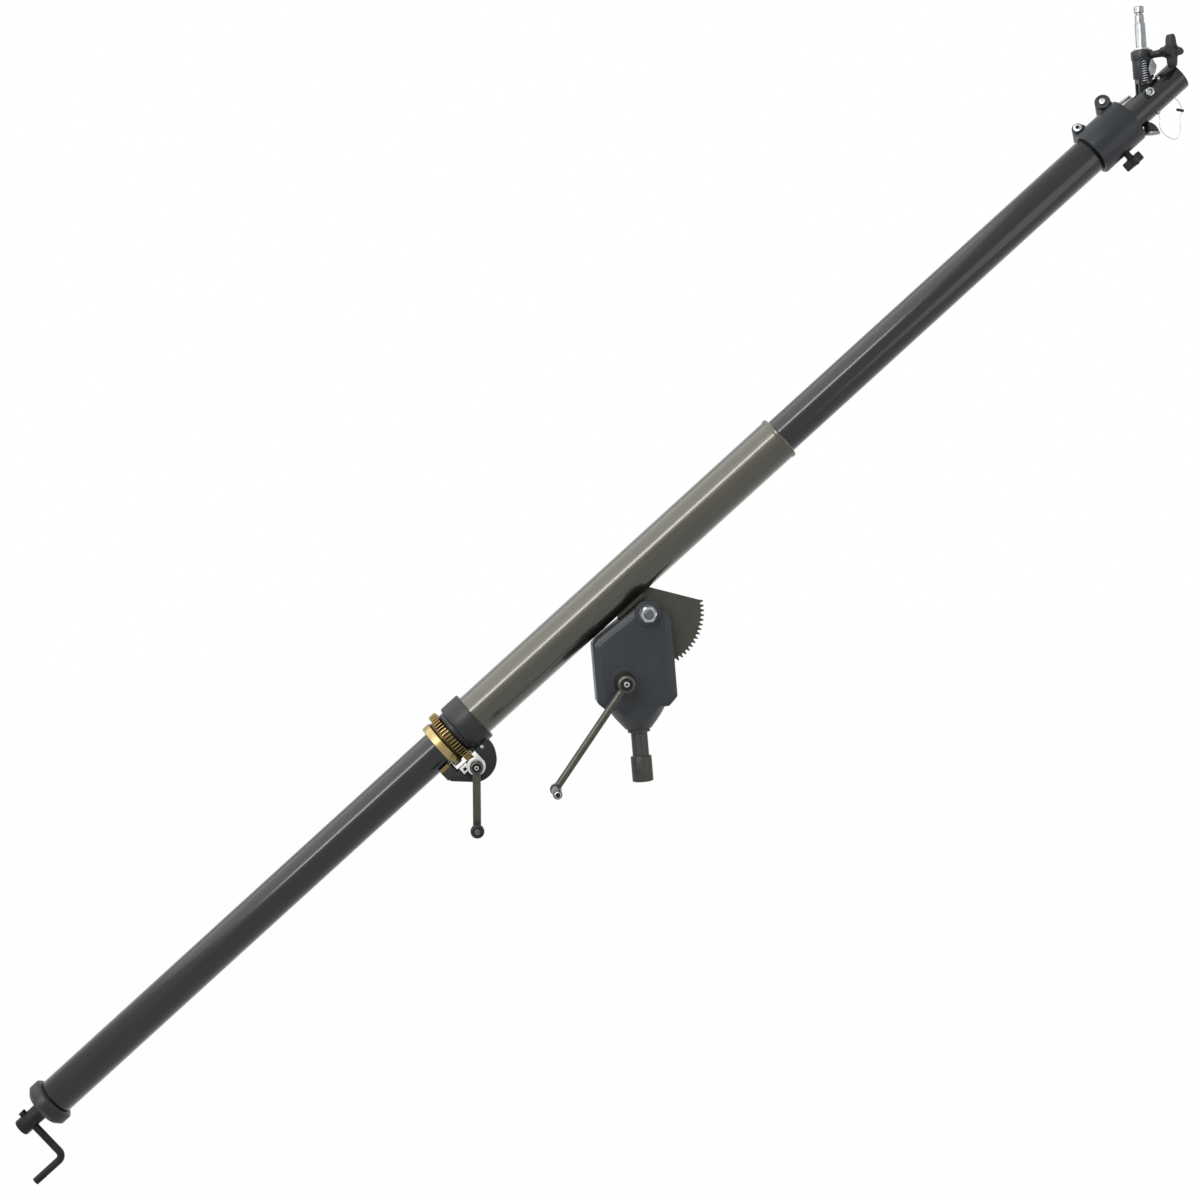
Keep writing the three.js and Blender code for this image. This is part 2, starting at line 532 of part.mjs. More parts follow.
// Roll collar on the rear of the sleeve, with two half-round plates that carry the worm
function addRollCarrier() {
  const c = COLLAR;
  const tubeBore = MAIN.r + SLIDE;
  const seat = SLEEVE.r + GAP;
  const shoulder = SLEEVE.back - GAP;
  const profile = [[tubeBore, c.smallBack], [c.smallR - c.chamfer, c.smallBack], [c.smallR, c.smallBack + c.chamfer]];
  profile.push([c.smallR, c.step], [c.r - c.chamfer, c.step], [c.r, c.step + c.chamfer], [c.r, c.front - c.chamfer]);
  profile.push([c.r - c.chamfer, c.front], [seat, c.front], [seat, shoulder], [tubeBore, shoulder]);
  profile.push([tubeBore, c.smallBack]);
  piece(boom, "roll_collar", turned("x", profile, FINE), castPaint);
  const p = PLATE;
  const arc = circleOutline(p.arcX, p.arcZ, p.arcR, -122, 12, 12);
  const outline = [[p.backX, p.leftLow], ...arc, [p.right - p.thick, p.backTop], [p.notchFront, p.backTop]];
  outline.push([p.notchFront, p.notchTop], [p.notchBack, p.notchTop], [p.notchBack, p.leftTop], [p.left, p.leftTop]);
  const centre = { x: ROLL.station, z: -ROLL.module * ROLL.teeth / 2 - ROLL.wormR };
  const collarRoom = rod("x", c.r + GAP, c.step - GAP, c.front + GAP, FINE);
  const ringRoom = rod("x", c.smallR + GAP, c.smallBack - GAP, c.front, FINE);
  const shaftRoom = moved(rod("y", WORM.shaftR + SLIDE, -SLEEVE.r, SLEEVE.r, COARSE), centre.x, 0, centre.z);
  for (const [name, side] of [["roll_plate_near", -1], ["roll_plate_far", 1]]) {
    const [a, b] = [side * p.inner, side * (p.inner + p.thick)];
    const blank = plate(outline, Math.min(a, b), Math.max(a, b));
    const made = cut(moved(blank, centre.x, 0, centre.z), collarRoom, ringRoom, shaftRoom);
    piece(boom, name, made, castPaint);
  }
  const b = BLOCK;
  const face = -p.inner - p.thick - GAP;
  const body = rod("y", b.r, face - b.thick, face);
  const frontLug = block(b.lugX, b.lugEnd, face - b.thick, face, 0, b.lugTop);
  const backLug = block(b.backX, b.backEnd, face - b.thick, face, b.backLow, b.backTop);
  const tie = block(b.backEnd - 1, 0, face - b.thick, face, 0, b.backTop / 2);
  const bore = rod("y", WORM.shaftR + SLIDE, face - b.thick - 1, 0, COARSE);
  const bearing = cut(joined(body, frontLug, backLug, tie), bore);
  piece(boom, "worm_bearing_block", moved(bearing, centre.x, 0, centre.z), aluminium);
  const shoe = block(SHOE.back, SHOE.front, -SHOE.halfY, SHOE.halfY, -SHOE.depth, 0);
  piece(boom, "roll_brake_shoe", cut(shoe, rod("x", MAIN.r + GAP, SHOE.back - 1, SHOE.front + 1, FINE)), brass);
}

function addRollWorm() {
  const group = new THREE.Group();
  group.position.set(ROLL.station, 0, -(ROLL.module * ROLL.teeth) / 2 - ROLL.wormR);
  boom.add(group);
  const thread = wormThread(ROLL, 0, AROUND_Y);
  const shaft = rod("y", WORM.shaftR, -WORM.near, WORM.far + WORM.collar, COARSE);
  const farCollar = rod("y", WORM.collarR, WORM.far, WORM.far + WORM.collar, COARSE);
  piece(group, "roll_worm", joined(thread, shaft, farCollar), phosphate);
  const a = ROLL_ARM;
  const hubEnd = -WORM.step - a.hub;
  const hub = chamferedRod("y", a.hubR, hubEnd, -WORM.step, 1, COARSE);
  const direction = [Math.cos((a.angle - RISE) * RADIAN), Math.sin((a.angle - RISE) * RADIAN)];
  const tip = [direction[0] * a.length, direction[1] * a.length];
  const armNear = -WORM.step - a.hub + a.thick;
  const flat = block(0, a.length, armNear, armNear + a.thick, -a.width / 2, a.width / 2);
  flat.rotateY(-(a.angle - RISE) * RADIAN);
  const eye = moved(rod("y", a.width / 2, armNear, armNear + a.thick, COARSE), tip[0], 0, tip[1]);
  const shaftHole = rod("y", WORM.shaftR + GAP, -WORM.near - GAP, 0, COARSE);
  const pinHole = moved(rod("y", a.pinR + GAP, -WORM.near - a.knob, 0, COARSE), tip[0], 0, tip[1]);
  piece(group, "roll_arm", cut(joined(hub, flat, eye), shaftHole, pinHole), phosphate);
  const knobBack = armNear - SLIDE;
  const knobFace = knobBack - a.knob;
  const farFace = armNear + a.thick + SLIDE;
  const shank = rod("y", a.pinR, knobFace, farFace, COARSE);
  const near = rod("y", a.pinHead, knobFace - 2 - SLIDE, knobFace - SLIDE, COARSE);
  const neck = rod("y", a.pinR, knobFace - 2, knobFace, COARSE);
  const far = rod("y", a.pinHead, farFace, farFace + 1, COARSE);
  piece(group, "roll_knob_pin", moved(joined(shank, near, neck, far), tip[0], 0, tip[1]), zinc);
  const bore = a.pinR + SLIDE;
  const profile = [[bore, knobFace], [a.knobR - 2, knobFace], [a.knobR, knobFace + 3], [a.knobR, knobFace + a.hubR]];
  profile.push([a.knobR - 3, knobBack - 2], [a.knobR - 4, knobBack], [bore, knobBack], [bore, knobFace]);
  piece(group, "roll_knob", moved(turned("y", profile, COARSE + HEX), tip[0], 0, tip[1]), plastic);
}

// Main tube with the brass wheel, the rear collar and its plug
function addMainTube() {
  piece(boom, "main_tube", ring("x", MAIN.r, MAIN.bore, MAIN.back, MAIN.front, FINE), satinBlack);
  const slope = ROLL.module / (2 * ROLL.wormR);
  const gear = moved(helicalGear(ROLL, slope, -Math.PI / 2, AROUND_X), ROLL.station, 0, 0);
  const w = WHEEL;
  const back = ROLL.station - ROLL.halfFace;
  const bore = MAIN.r + GAP;
  const profile = [[0, w.flangeBack], [w.flangeR - 1, w.flangeBack], [w.flangeR, w.flangeBack + 1]];
  profile.push([w.flangeR, w.flangeFront], [w.grooveR, w.flangeFront + 2], [w.grooveR, back + 2], [0, back + 2]);
  const tubeRoom = rod("x", bore, w.flangeBack - 1, -w.flangeFront, FINE);
  piece(boom, "roll_wheel", cut(joined(gear, turned("x", profile, FINE)), tubeRoom), brass);
  const e = REAR;
  const cap = [[bore, e.start], [e.r - e.chamfer, e.start], [e.r, e.start + e.chamfer], [e.r, e.end - e.chamfer / 2]];
  cap.push([e.r - e.chamfer / 2, e.end], [bore, e.end], [bore, e.start]);
  piece(boom, "rear_collar", turned("x", cap, FINE), castPaint);
  const plugR = MAIN.bore - GAP;
  piece(boom, "rear_plug", ring("x", plugR, e.boreR, e.start, e.plugEnd), blackOxide);
  const guideBore = TIP.r + SLIDE;
  piece(boom, "tip_guide_ring", ring("x", plugR, guideBore, GUIDE.frontStart, MAIN.front - GAP), bronze);
}

// Rear crank: a bent rod through a stub shaft that turns the long hexagon tube inside the boom
function addRearCrank() {
  const s = STUB;
  const c = CRANK_ROD;
  const profile = [[0, s.back], [s.r - s.chamfer, s.back], [s.r, s.back + s.chamfer], [s.r, s.face], [s.shankR, s.face]];
  profile.push([s.shankR, s.shankEnd], [0, s.shankEnd]);
  const crossHole = moved(rod("z", c.r + GAP, -s.r - c.out, s.r + c.out, COARSE), c.station, 0, 0);
  piece(boom, "drive_stub", cut(turned("x", profile), crossHole), blackOxide);
  const at = (x, z) => new THREE.Vector3(c.station + x, 0, z);
  const bend = new THREE.QuadraticBezierCurve3(at(0, -c.drop + c.bend), at(0, -c.drop), at(-c.bend, -c.drop));
  const throw_ = bar(new THREE.LineCurve3(at(0, c.out), at(0, -c.drop + c.bend)), c.r, 1, COARSE);
  const handle = bar(new THREE.LineCurve3(at(-c.bend, -c.drop), at(-c.handle, -c.drop)), c.r, 1, COARSE);
  piece(boom, "drive_crank_rod", joined(throw_, bar(bend, c.r, 5, COARSE), handle), blackOxide);
  const d = DRIVE;
  const tube = ring("x", d.tubeR, d.boreR, d.tubeBack, d.tubeFront, HEX);
  piece(boom, "drive_tube", tube, phosphate);
  const guide = ring("x", d.guideR, d.tubeR + GAP, d.tubeFront - d.guide, d.tubeFront, COARSE);
  piece(boom, "drive_tube_guide", guide, bronze);
}

// A lobed hand knob with hollow sides between its lobes, its axis along y
function lobedKnob(radius, waist, thick, lobes) {
  const outline = [];
  const steps = 10;
  for (let i = 0; i < lobes * steps; i++) {
    const angle = (2 * Math.PI * i) / (lobes * steps);
    const share = Math.abs(Math.cos((angle * lobes) / 2)) ** 2.2;
    outline.push([(waist + (radius - waist) * share) * Math.cos(angle), (waist + (radius - waist) * share) * Math.sin(angle)]);
  }
  return plate(outline, 0, thick, 1.2);
}

// Clamp: a split casting at the mouth of the main tube, its lugs rolled round the boom
function addClamp() {
  const c = CLAMP;
  const group = new THREE.Group();
  group.rotation.x = c.roll * RADIAN;
  boom.add(group);
  const profile = [[0, c.back], [c.r - c.chamfer, c.back], [c.r, c.back + c.chamfer], [c.r, c.front - c.chamfer]];
  profile.push([c.r - c.chamfer, c.front], [0, c.front]);
  const body = turned("x", profile, FINE);
  const lug = moved(rod("y", LUG.r, -LUG.halfY, LUG.halfY), LUG.x, 0, LUG.z);
  const lugFoot = block(LUG.x - LUG.r, LUG.x + LUG.r, -LUG.halfY + 2, LUG.halfY - 2, TIP.r + GAP + 6, LUG.z);
  const boss = moved(rod("y", BOSS.r, -BOSS.halfY, BOSS.halfY), BOSS.x, 0, BOSS.z);
  const footTop = BOSS.z;
  const foot = block(BOSS.x - BOSS.r, c.front, -BOSS.footHalf, BOSS.footHalf, MAIN.r + 1, footTop);
  const mainRoom = rod("x", MAIN.r + GAP, c.back - 1, MAIN.front + GAP, FINE);
  const tipRoom = rod("x", TIP.r + SLIDE, c.back, c.front + 1, FINE);
  const slit = block(MAIN.front + 2, c.front + 9, -c.slitHalf, c.slitHalf, 0, BOSS.z + 2 * BOSS.r);
  const screwRoom = moved(rod("y", CLAMP_SCREW.r + GAP, -c.r, c.r, COARSE), BOSS.x, 0, BOSS.z);
  const lugRoom = moved(rod("y", CLAMP_SCREW.r + GAP, -c.r, c.r, COARSE), LUG.x, 0, LUG.z);
  const knobRoom = moved(rod("z", LOCK_KNOB.neckR + GAP, -c.r - 1, 0, COARSE), LOCK_KNOB.x, 0, 0);
  const turnBack = new THREE.Matrix4().makeRotationX(-c.roll * RADIAN);
  knobRoom.applyMatrix4(turnBack);
  const casting = cut(joined(body, lug, lugFoot, boss, foot), mainRoom, tipRoom, slit, screwRoom, lugRoom, knobRoom);
  piece(group, "clamp_casting", casting, castPaint);
  const s = CLAMP_SCREW;
  const lugHead = rod("y", s.headR, -LUG.halfY - GAP - s.head, -LUG.halfY - GAP, COARSE);
  const lugScrew = joined(lugHead, rod("y", s.r, -LUG.halfY - s.head, LUG.halfY, COARSE));
  piece(group, "clamp_rear_screw", moved(lugScrew, LUG.x, 0, LUG.z), zinc);
  const v = LEVER;
  const bossEnd = BOSS.halfY + GAP;
  const bossHead = rod("y", s.headR, -bossEnd - s.head, -bossEnd, COARSE);
  const bossScrew = joined(bossHead, rod("y", s.r, -bossEnd - s.head / 2, bossEnd + v.hub, COARSE));
  piece(group, "clamp_front_screw", moved(bossScrew, BOSS.x, 0, BOSS.z), zinc);
  const hub = rod("y", v.hubR, bossEnd, bossEnd + v.hub, COARSE);
  const reach = (share) => [share * v.length * Math.cos(v.angle * RADIAN), share * v.length * Math.sin(v.angle * RADIAN)];
  const middle = bossEnd + v.hub / 2;
  const [x0, z0] = reach(0.12);
  const [x1, z1] = reach(1);
  const line = new THREE.LineCurve3(new THREE.Vector3(x0, middle, z0), new THREE.Vector3(x1, middle, z1));
  const lever = cut(joined(hub, bar(line, v.r, 1, 16)), rod("y", s.r + GAP, 0, bossEnd + 2 * v.hub, COARSE));
  piece(group, "clamp_lever", moved(lever, BOSS.x, 0, BOSS.z), chrome);
  const k = LOCK_KNOB;
  const star = lobedKnob(k.r, k.waist, k.thick, k.lobes).rotateX(90 * RADIAN);
  const knobTop = -c.r - k.neck;
  star.translate(0, 0, knobTop - k.thick);
  const tail = rod("z", k.neckR, knobTop - 1, -TIP.r - 2 * GAP, COARSE);
  piece(boom, "clamp_lock_knob", moved(joined(star, tail), k.x, 0, 0), plastic);
}

// Tip tube: bearings for the drive rod, a slot for the holder, the lower stop block and the wire lanyard
function addTipTube() {
  const t = TIP;
  const h = HEAD;
  const outside = rod("x", t.r, t.back, t.front, FINE);
  const boss = moved(rod("y", h.bossR, -h.bossY, h.bossY), h.station, 0, h.rise);
  const inside = rod("x", t.bore, t.back - 1, t.front + 1, FINE);
  const slot = block(h.slotBack, h.slotFront, -h.slotHalf, h.slotHalf, 0, 2 * t.r);
  const bolt = moved(rod("y", h.boltR + GAP, -2 * t.r, 2 * t.r, COARSE), h.station, 0, h.rise);
  piece(boom, "tip_tube", cut(joined(outside, boss), inside, slot, bolt), satinBlack);
  const guideBore = t.r + GAP;
  const guideR = MAIN.bore - SLIDE;
  piece(boom, "tip_rear_ring", ring("x", guideR, guideBore, t.back, t.back + GUIDE.rearLength), bronze);
  const plugR = t.bore - GAP;
  const rodHole = TIP_PLUG.bore;
  piece(boom, "rod_bearing", ring("x", plugR, rodHole, ROD_BEARING.back, ROD_BEARING.front), bronze);
  const blind = rod("x", rodHole, TIP_PLUG.back - 1, TIP_PLUG.boreEnd, COARSE);
  piece(boom, "tip_end_plug", cut(chamferedRod("x", plugR, TIP_PLUG.back, t.front - 1, GAP), blind), plastic);
  const shank = rod("y", h.boltR, -h.bossY - NUT.tail, h.bossY + GAP + 1, COARSE);
  const head = rod("y", h.bossR - 1, h.bossY + GAP, h.bossY + NUT.thick / 2, HEX);
  piece(boom, "head_pivot_bolt", moved(joined(shank, head), h.station, 0, h.rise), zinc);
  const nutFar = -h.bossY - GAP;
  const nutBody = rod("y", h.bossR - 1, nutFar - NUT.thick / 2, nutFar, HEX);
  const nut = cut(nutBody, rod("y", h.boltR + GAP, -2 * h.bossY, 0, COARSE));
  piece(boom, "head_pivot_nut", moved(nut, h.station, 0, h.rise), zinc);
}

// Drive rod: a hexagon rod that slides in the drive tube, with the worm that turns the head
function addDriveRod() {
  const d = DRIVE;
  const g = HEAD_GEAR;
  const long = rod("x", d.rodR, d.rodBack, ROD_BEARING.back, HEX);
  const thread = moved(wormThread(g, Math.PI / 2, AROUND_X), HEAD.station, 0, 0);
  const journal = rod("x", d.rodR - GAP, ROD_BEARING.back - 1, TIP_PLUG.rodEnd, COARSE);
  piece(boom, "drive_rod", joined(long, journal, thread), phosphate);
}

// Head group: origin on the head pivot, its axes level with the stand
function addHead() {
  const group = new THREE.Group();
  group.position.set(HEAD.station, 0, HEAD.rise);
  group.rotation.y = RISE * RADIAN;
  boom.add(group);
  const h = HOLDER;
  const g = HEAD_GEAR;
  const slope = g.module / (2 * g.wormR);
  const gear = helicalGear(g, slope, (180 - RISE) * RADIAN, AROUND_Y);
  const bore = HEAD.boltR + SLIDE;
  const wheel = cut(joined(gear, rod("y", g.hubR, -g.hubY, g.hubY, COARSE)), rod("y", bore, -h.r, h.r, COARSE));
  piece(group, "head_wheel", wheel, brass);
  const cheekDisc = rod("y", h.cheekR, -h.cheekOut, h.cheekOut);
  const cheek = block(-h.cheekR, h.cheekR, -h.cheekOut, h.cheekOut, 0, h.neck + 1);
  const gearRoom = block(-h.r, h.r, -h.cheekIn, h.cheekIn, -h.r, h.web);
  const profile = [[0, h.neck], [h.r - 1, h.neck], [h.r, h.neck + 1], [h.r, h.collarZ - 1], [h.collarR, h.collarZ]];
  profile.push([h.collarR, h.top - 1.5], [h.collarR - 1.5, h.top], [0, h.top]);
  const studRoom = rod("z", h.boreR, h.boreFloor, h.top + 1, COARSE);
  const boltRoom = rod("y", bore, -h.r, h.r, COARSE);
  const k = STUD_KNOB;
  const toKnob = (geometry) => geometry.rotateZ(k.turn * RADIAN).translate(0, 0, k.z);
  const neckRoom = toKnob(rod("y", k.neckR - 2 + GAP, -h.collarR - 1, 0, COARSE));
  const holder = cut(joined(cheekDisc, cheek, turned("z", profile)), gearRoom, studRoom, boltRoom, neckRoom);
  piece(group, "stud_holder", holder, castPaint);
  const b = BRACKET;
  const s = SPRING;
  const back = block(b.left, b.right, b.near, b.far, s.low - b.earThick, s.high + b.earThick);
  const lowEar = block(b.left, b.right, b.ear, b.near + 1, s.low - b.earThick, s.low);
  const highEar = block(b.left, b.right, b.ear, b.near + 1, s.high, s.high + b.earThick);
  const pin = moved(rod("z", b.pinR, s.low - 1, s.high + 1, COARSE), s.x, s.y, 0);
  piece(group, "spring_bracket", joined(back, lowEar, highEar, pin), castPaint);
  addSpring(group);
  const o = LATCH_OUTLINE;
  const wedge = [[o.toeX, o.toeZ], [o.lowX, o.lowZ], [o.outX, o.outZ], [o.topX, o.topZ], [o.upX, o.upZ], [o.inX, o.inZ]];
  piece(group, "stud_latch", plate(wedge, LATCH.near, LATCH.far, 1), greyZinc);
  const t = STUD;
  const edge = 1;
  const line = [[0, t.floor], [t.r, t.floor], [t.r, t.step], [t.upperR, t.step + edge], [t.upperR, t.groove]];
  line.push([t.grooveR, t.groove + edge], [t.grooveR, t.groove2 - edge], [t.headR, t.groove2]);
  line.push([t.headR, t.top - edge], [t.headR - edge, t.top], [0, t.top]);
  piece(group, "stud", turned("z", line), chrome);
  const bushing = ring("z", t.ringR, t.r + GAP, h.top + GAP, h.top + GAP + t.ring);
  piece(group, "stud_ring", bushing, chrome);
  const knobBody = lobedKnob(k.r, k.waist, k.end - k.neckEnd, k.lobes).translate(0, -k.end, 0);
  const neck = rod("y", k.neckR, -k.neckEnd - 1, -k.start, COARSE);
  const screw = rod("y", k.neckR - 2, -k.neckEnd, -t.r - GAP, COARSE);
  piece(group, "stud_knob", toKnob(joined(knobBody, neck, screw)), plastic);
}

// Coil spring on its pin: an even helix of round wire
function addSpring(group) {
  const s = SPRING;
  const low = s.low + s.wire + GAP;
  const pitch = (s.high - s.low - 2 * (s.wire + GAP)) / s.curls;
  const points = [];
  const count = s.curls * s.steps;
  for (let i = 0; i <= count; i++) {
    const angle = (2 * Math.PI * i) / s.steps;
    points.push(new THREE.Vector3(s.r * Math.cos(angle), s.r * Math.sin(angle), low + (pitch * i) / s.steps));
  }
  const curve = new THREE.CatmullRomCurve3(points);
  piece(group, "latch_spring", moved(bar(curve, s.wire, count, s.sides), s.x, s.y, 0), zinc);
  console.log("latch spring least gap between curls", (pitch - 2 * s.wire).toFixed(2), "mm");
}

// Lower stop block under the tip tube, in line with the holder, with its end disc
function addLowerBlock() {
  const group = new THREE.Group();
  group.position.set(HEAD.station, 0, HEAD.rise);
  group.rotation.y = RISE * RADIAN;
  boom.add(group);
  const l = LOWER;
  const tube = rod("x", TIP.r + GAP, -TIP.front, TIP.front, FINE);
  tube.translate(0, 0, -HEAD.rise).rotateY(-RISE * RADIAN);
  const body = cut(moved(rod("z", l.r, l.low, l.top), l.x, 0, 0), tube);
  piece(group, "lower_block", body, castPaint);
  const disc = chamferedRod("z", l.discR, l.low - GAP - l.disc, l.low - GAP, GAP);
  piece(group, "lower_disc", moved(disc, l.x, 0, 0), zinc);
}

// Thin wire lanyard hanging from the near side of the tip tube, with a ferrule on it
function addLanyard() {
  const w = WIRE;
  const route = LANYARD.map(([x, y, z]) => new THREE.Vector3(x, y, z));
  const curve = new THREE.CatmullRomCurve3(route, false, "centripetal");
  piece(boom, "lanyard_wire", bar(curve, w.r, w.steps, w.sides), zinc);
  const pin = chamferedRod("x", w.ferruleR, -w.ferruleBack, w.ferruleFront, GAP, COARSE);
  pin.rotateY(-w.ferruleAngle * RADIAN).translate(FERRULE.x, FERRULE.y, FERRULE.z);
  piece(boom, "lanyard_ferrule", cut(pin, bar(curve, w.r + GAP, w.steps, w.sides)), blackOxide);
}

addHousing();
addSpigot();
addPivotBolt();
addTiltCrank();
addSleeve();
addSector();
addRollCarrier();
addRollWorm();
addMainTube();
addRearCrank();
addClamp();
addTipTube();
addDriveRod();
addHead();
addLowerBlock();
addLanyard();

export default model;
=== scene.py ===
import math

import bmesh
import bpy
from mathutils import Matrix, Vector


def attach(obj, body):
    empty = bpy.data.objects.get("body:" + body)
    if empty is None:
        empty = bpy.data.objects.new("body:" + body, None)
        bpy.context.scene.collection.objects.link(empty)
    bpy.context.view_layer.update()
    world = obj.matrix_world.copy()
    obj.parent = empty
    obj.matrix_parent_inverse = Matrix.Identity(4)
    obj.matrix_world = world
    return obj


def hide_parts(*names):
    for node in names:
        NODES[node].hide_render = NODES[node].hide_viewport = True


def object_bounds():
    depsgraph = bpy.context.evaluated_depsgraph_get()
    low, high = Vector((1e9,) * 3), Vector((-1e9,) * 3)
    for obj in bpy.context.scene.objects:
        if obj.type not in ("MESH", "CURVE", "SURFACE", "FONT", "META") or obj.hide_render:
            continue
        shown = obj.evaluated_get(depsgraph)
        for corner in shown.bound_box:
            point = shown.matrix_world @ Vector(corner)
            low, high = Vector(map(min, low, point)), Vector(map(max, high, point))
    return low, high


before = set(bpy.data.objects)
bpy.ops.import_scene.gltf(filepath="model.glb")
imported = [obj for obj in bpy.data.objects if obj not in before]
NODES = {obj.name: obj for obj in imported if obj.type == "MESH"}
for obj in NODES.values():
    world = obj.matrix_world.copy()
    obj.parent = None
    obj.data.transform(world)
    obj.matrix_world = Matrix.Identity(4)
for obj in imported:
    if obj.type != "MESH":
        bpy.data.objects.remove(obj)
CAD_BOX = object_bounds()
MM = 0.001


def shift(x, y, z):
    """A move by millimetres."""
    return Matrix.Translation((x * MM, y * MM, z * MM))


# Places in millimetres: two on the stand, then those on the boom, measured from above the pivot
PIVOT_AT = (22.5, 0, 223)
SHAFT_AT = (-15.077, 0, 135.748)
WORM_AT = (-300.5, 0, -48.5)
REAR_LUG_AT = (853, 0, 33)
LOCK_KNOB_AT = (880, 0, 0)
FRONT_LUG_AT = (902, 0, 38)
HEAD_AT = (950, 0, 11)
PIVOT_DROP = 52

# Outer radii of the tubes, and the play of a bore round what runs in it
SLEEVE_R = 30
MAIN_R = 25
TIP_R = 20
PLAY = 0.3

# Frames of the pieces: the stand, the boom at its rise, the clamp rolled round it, the head on its pivot
RISE = math.radians(37.3)
CLAMP_ROLL = math.radians(28)
STAND = Matrix.Identity(4)
BOOM_ORIGIN = Vector(PIVOT_AT) + PIVOT_DROP * Vector((-math.sin(RISE), 0, math.cos(RISE)))
BOOM = shift(*BOOM_ORIGIN) @ Matrix.Rotation(-RISE, 4, "Y")
CLAMP = BOOM @ Matrix.Rotation(-CLAMP_ROLL, 4, "X")
HEAD = BOOM @ shift(*HEAD_AT) @ Matrix.Rotation(RISE, 4, "Y")
TILT_SHAFT = shift(*SHAFT_AT)
WORM = BOOM @ shift(*WORM_AT)
STUD_KNOB = shift(0, 0, 49) @ Matrix.Rotation(math.radians(40), 4, "Z")

# Directions in the pose of the photograph
BOOM_LINE = (math.cos(RISE), 0, math.sin(RISE))
BOOM_SIDE = (-math.sin(RISE), 0, math.cos(RISE))
THROUGH = (0, 1, 0)

# Ways that a piece modelled upright is laid down
ALONG = {
    "x": Matrix(((0, 0, 1, 0), (1, 0, 0, 0), (0, 1, 0, 0), (0, 0, 0, 1))),
    "y": Matrix(((0, 1, 0, 0), (0, 0, 1, 0), (1, 0, 0, 0), (0, 0, 0, 1))),
    "z": Matrix.Identity(4),
    "face": Matrix.Rotation(math.radians(90), 4, "X"),
}


# Camera and lanyard


def add_camera():
    """The camera at the photograph's angle, with its slight roll."""
    azimuth = math.radians(-3.51)
    height = math.radians(3.67)
    roll = math.radians(4.88)
    target = Vector((-0.0367, 0, 0.2448))
    distance = 3.345
    level = math.cos(height)
    toward = Vector((math.sin(azimuth) * level, -math.cos(azimuth) * level, math.sin(height)))
    right = (-toward).cross(Vector((0, 0, 1))).normalized()
    up = right.cross(-toward)
    across = right * math.cos(roll) - up * math.sin(roll)
    above = up * math.cos(roll) + right * math.sin(roll)
    lens = bpy.data.cameras.new("photo_camera")
    lens.lens = 76.02
    lens.sensor_width = 36
    lens.clip_start = 0.01
    camera = bpy.data.objects.new("photo_camera", lens)
    bpy.context.scene.collection.objects.link(camera)
    turn = Matrix((across, above, toward)).transposed().to_4x4()
    camera.matrix_world = Matrix.Translation(target + toward * distance) @ turn
    bpy.context.scene.camera = camera


# The lanyard's route in the boom frame, from the near side of the tip tube round to its lower side
LANYARD_ROUTE = [(944, -12, -16.9), (940, -15.5, -23.5), (931, -17.5, -34), (930, -17.5, -46)]
LANYARD_ROUTE += [(936.5, -17.5, -59), (948, -17, -56), (959, -16, -43)]
FERRULE_AT = (968.6, -14.6, -37)
LANYARD_ROUTE += [FERRULE_AT, (973, -14, -26), (973, -12, -16.9)]


def smooth_route(points, steps):
    """Points along the centripetal curve that passes through the given ones."""
    line = [Vector(p) for p in points]
    line = [line[0] * 2 - line[1], *line, line[-1] * 2 - line[-2]]
    route = []
    for before, start, end, after in zip(line, line[1:], line[2:], line[3:]):
        gap1 = max((start - before).length ** 0.5, 1e-4)
        gap2 = max((end - start).length ** 0.5, 1e-4)
        gap3 = max((after - end).length ** 0.5, 1e-4)
        lead = (start - before) / gap1 - (end - before) / (gap1 + gap2) + (end - start) / gap2
        trail = (end - start) / gap2 - (after - start) / (gap2 + gap3) + (after - end) / gap3
        lead = lead * gap2
        trail = trail * gap2
        for step in range(steps):
            t = step / steps
            bend = (2 * t**3 - 3 * t**2 + 1) * start + (t**3 - 2 * t**2 + t) * lead
            route.append(bend + (3 * t**2 - 2 * t**3) * end + (t**3 - t**2) * trail)
    route.append(line[-2])
    return route


def add_lanyard():
    """The wire loop under the tip and the crimp on it."""
    route = [BOOM @ (p * MM) for p in smooth_route(LANYARD_ROUTE, 8)]
    length = sum((b - a).length for a, b in zip(route, route[1:]))
    wire = wire_along("lanyard", route, 0.5, 5)
    wire.data.materials.append(FINISH["zinc"])
    line = [(-7.5, 1.0), (-7.1, 1.7), (-1, 1.9), (0, 1.5), (1, 1.9), (2.1, 1.9), (2.5, 1.4)]
    ferrule = turned(line, "x", sides=24)
    lay(ferrule, shift(*FERRULE_AT) @ Matrix.Rotation(math.radians(52), 4, "Y"))
    seat(ferrule, "lanyard_crimp", BOOM, "tip", "oxide", "lanyard_ferrule")
    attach(wire, "tip")
    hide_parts("lanyard_wire")


# Shaping


def only(piece):
    """Leaves one piece selected and active."""
    bpy.ops.object.select_all(action="DESELECT")
    piece.select_set(True)
    bpy.context.view_layer.objects.active = piece


def settle():
    """Puts the place, turn and size of what is selected into its mesh."""
    bpy.ops.object.transform_apply(location=True, rotation=True, scale=True)


def lay(piece, place):
    """Turns or moves a piece and puts that into its mesh."""
    only(piece)
    piece.matrix_world = place @ piece.matrix_world
    settle()
    return piece


def extrude(height):
    """Draws what is selected up along z."""
    bpy.ops.mesh.extrude_region_move(TRANSFORM_OT_translate={"value": (0, 0, height * MM)})


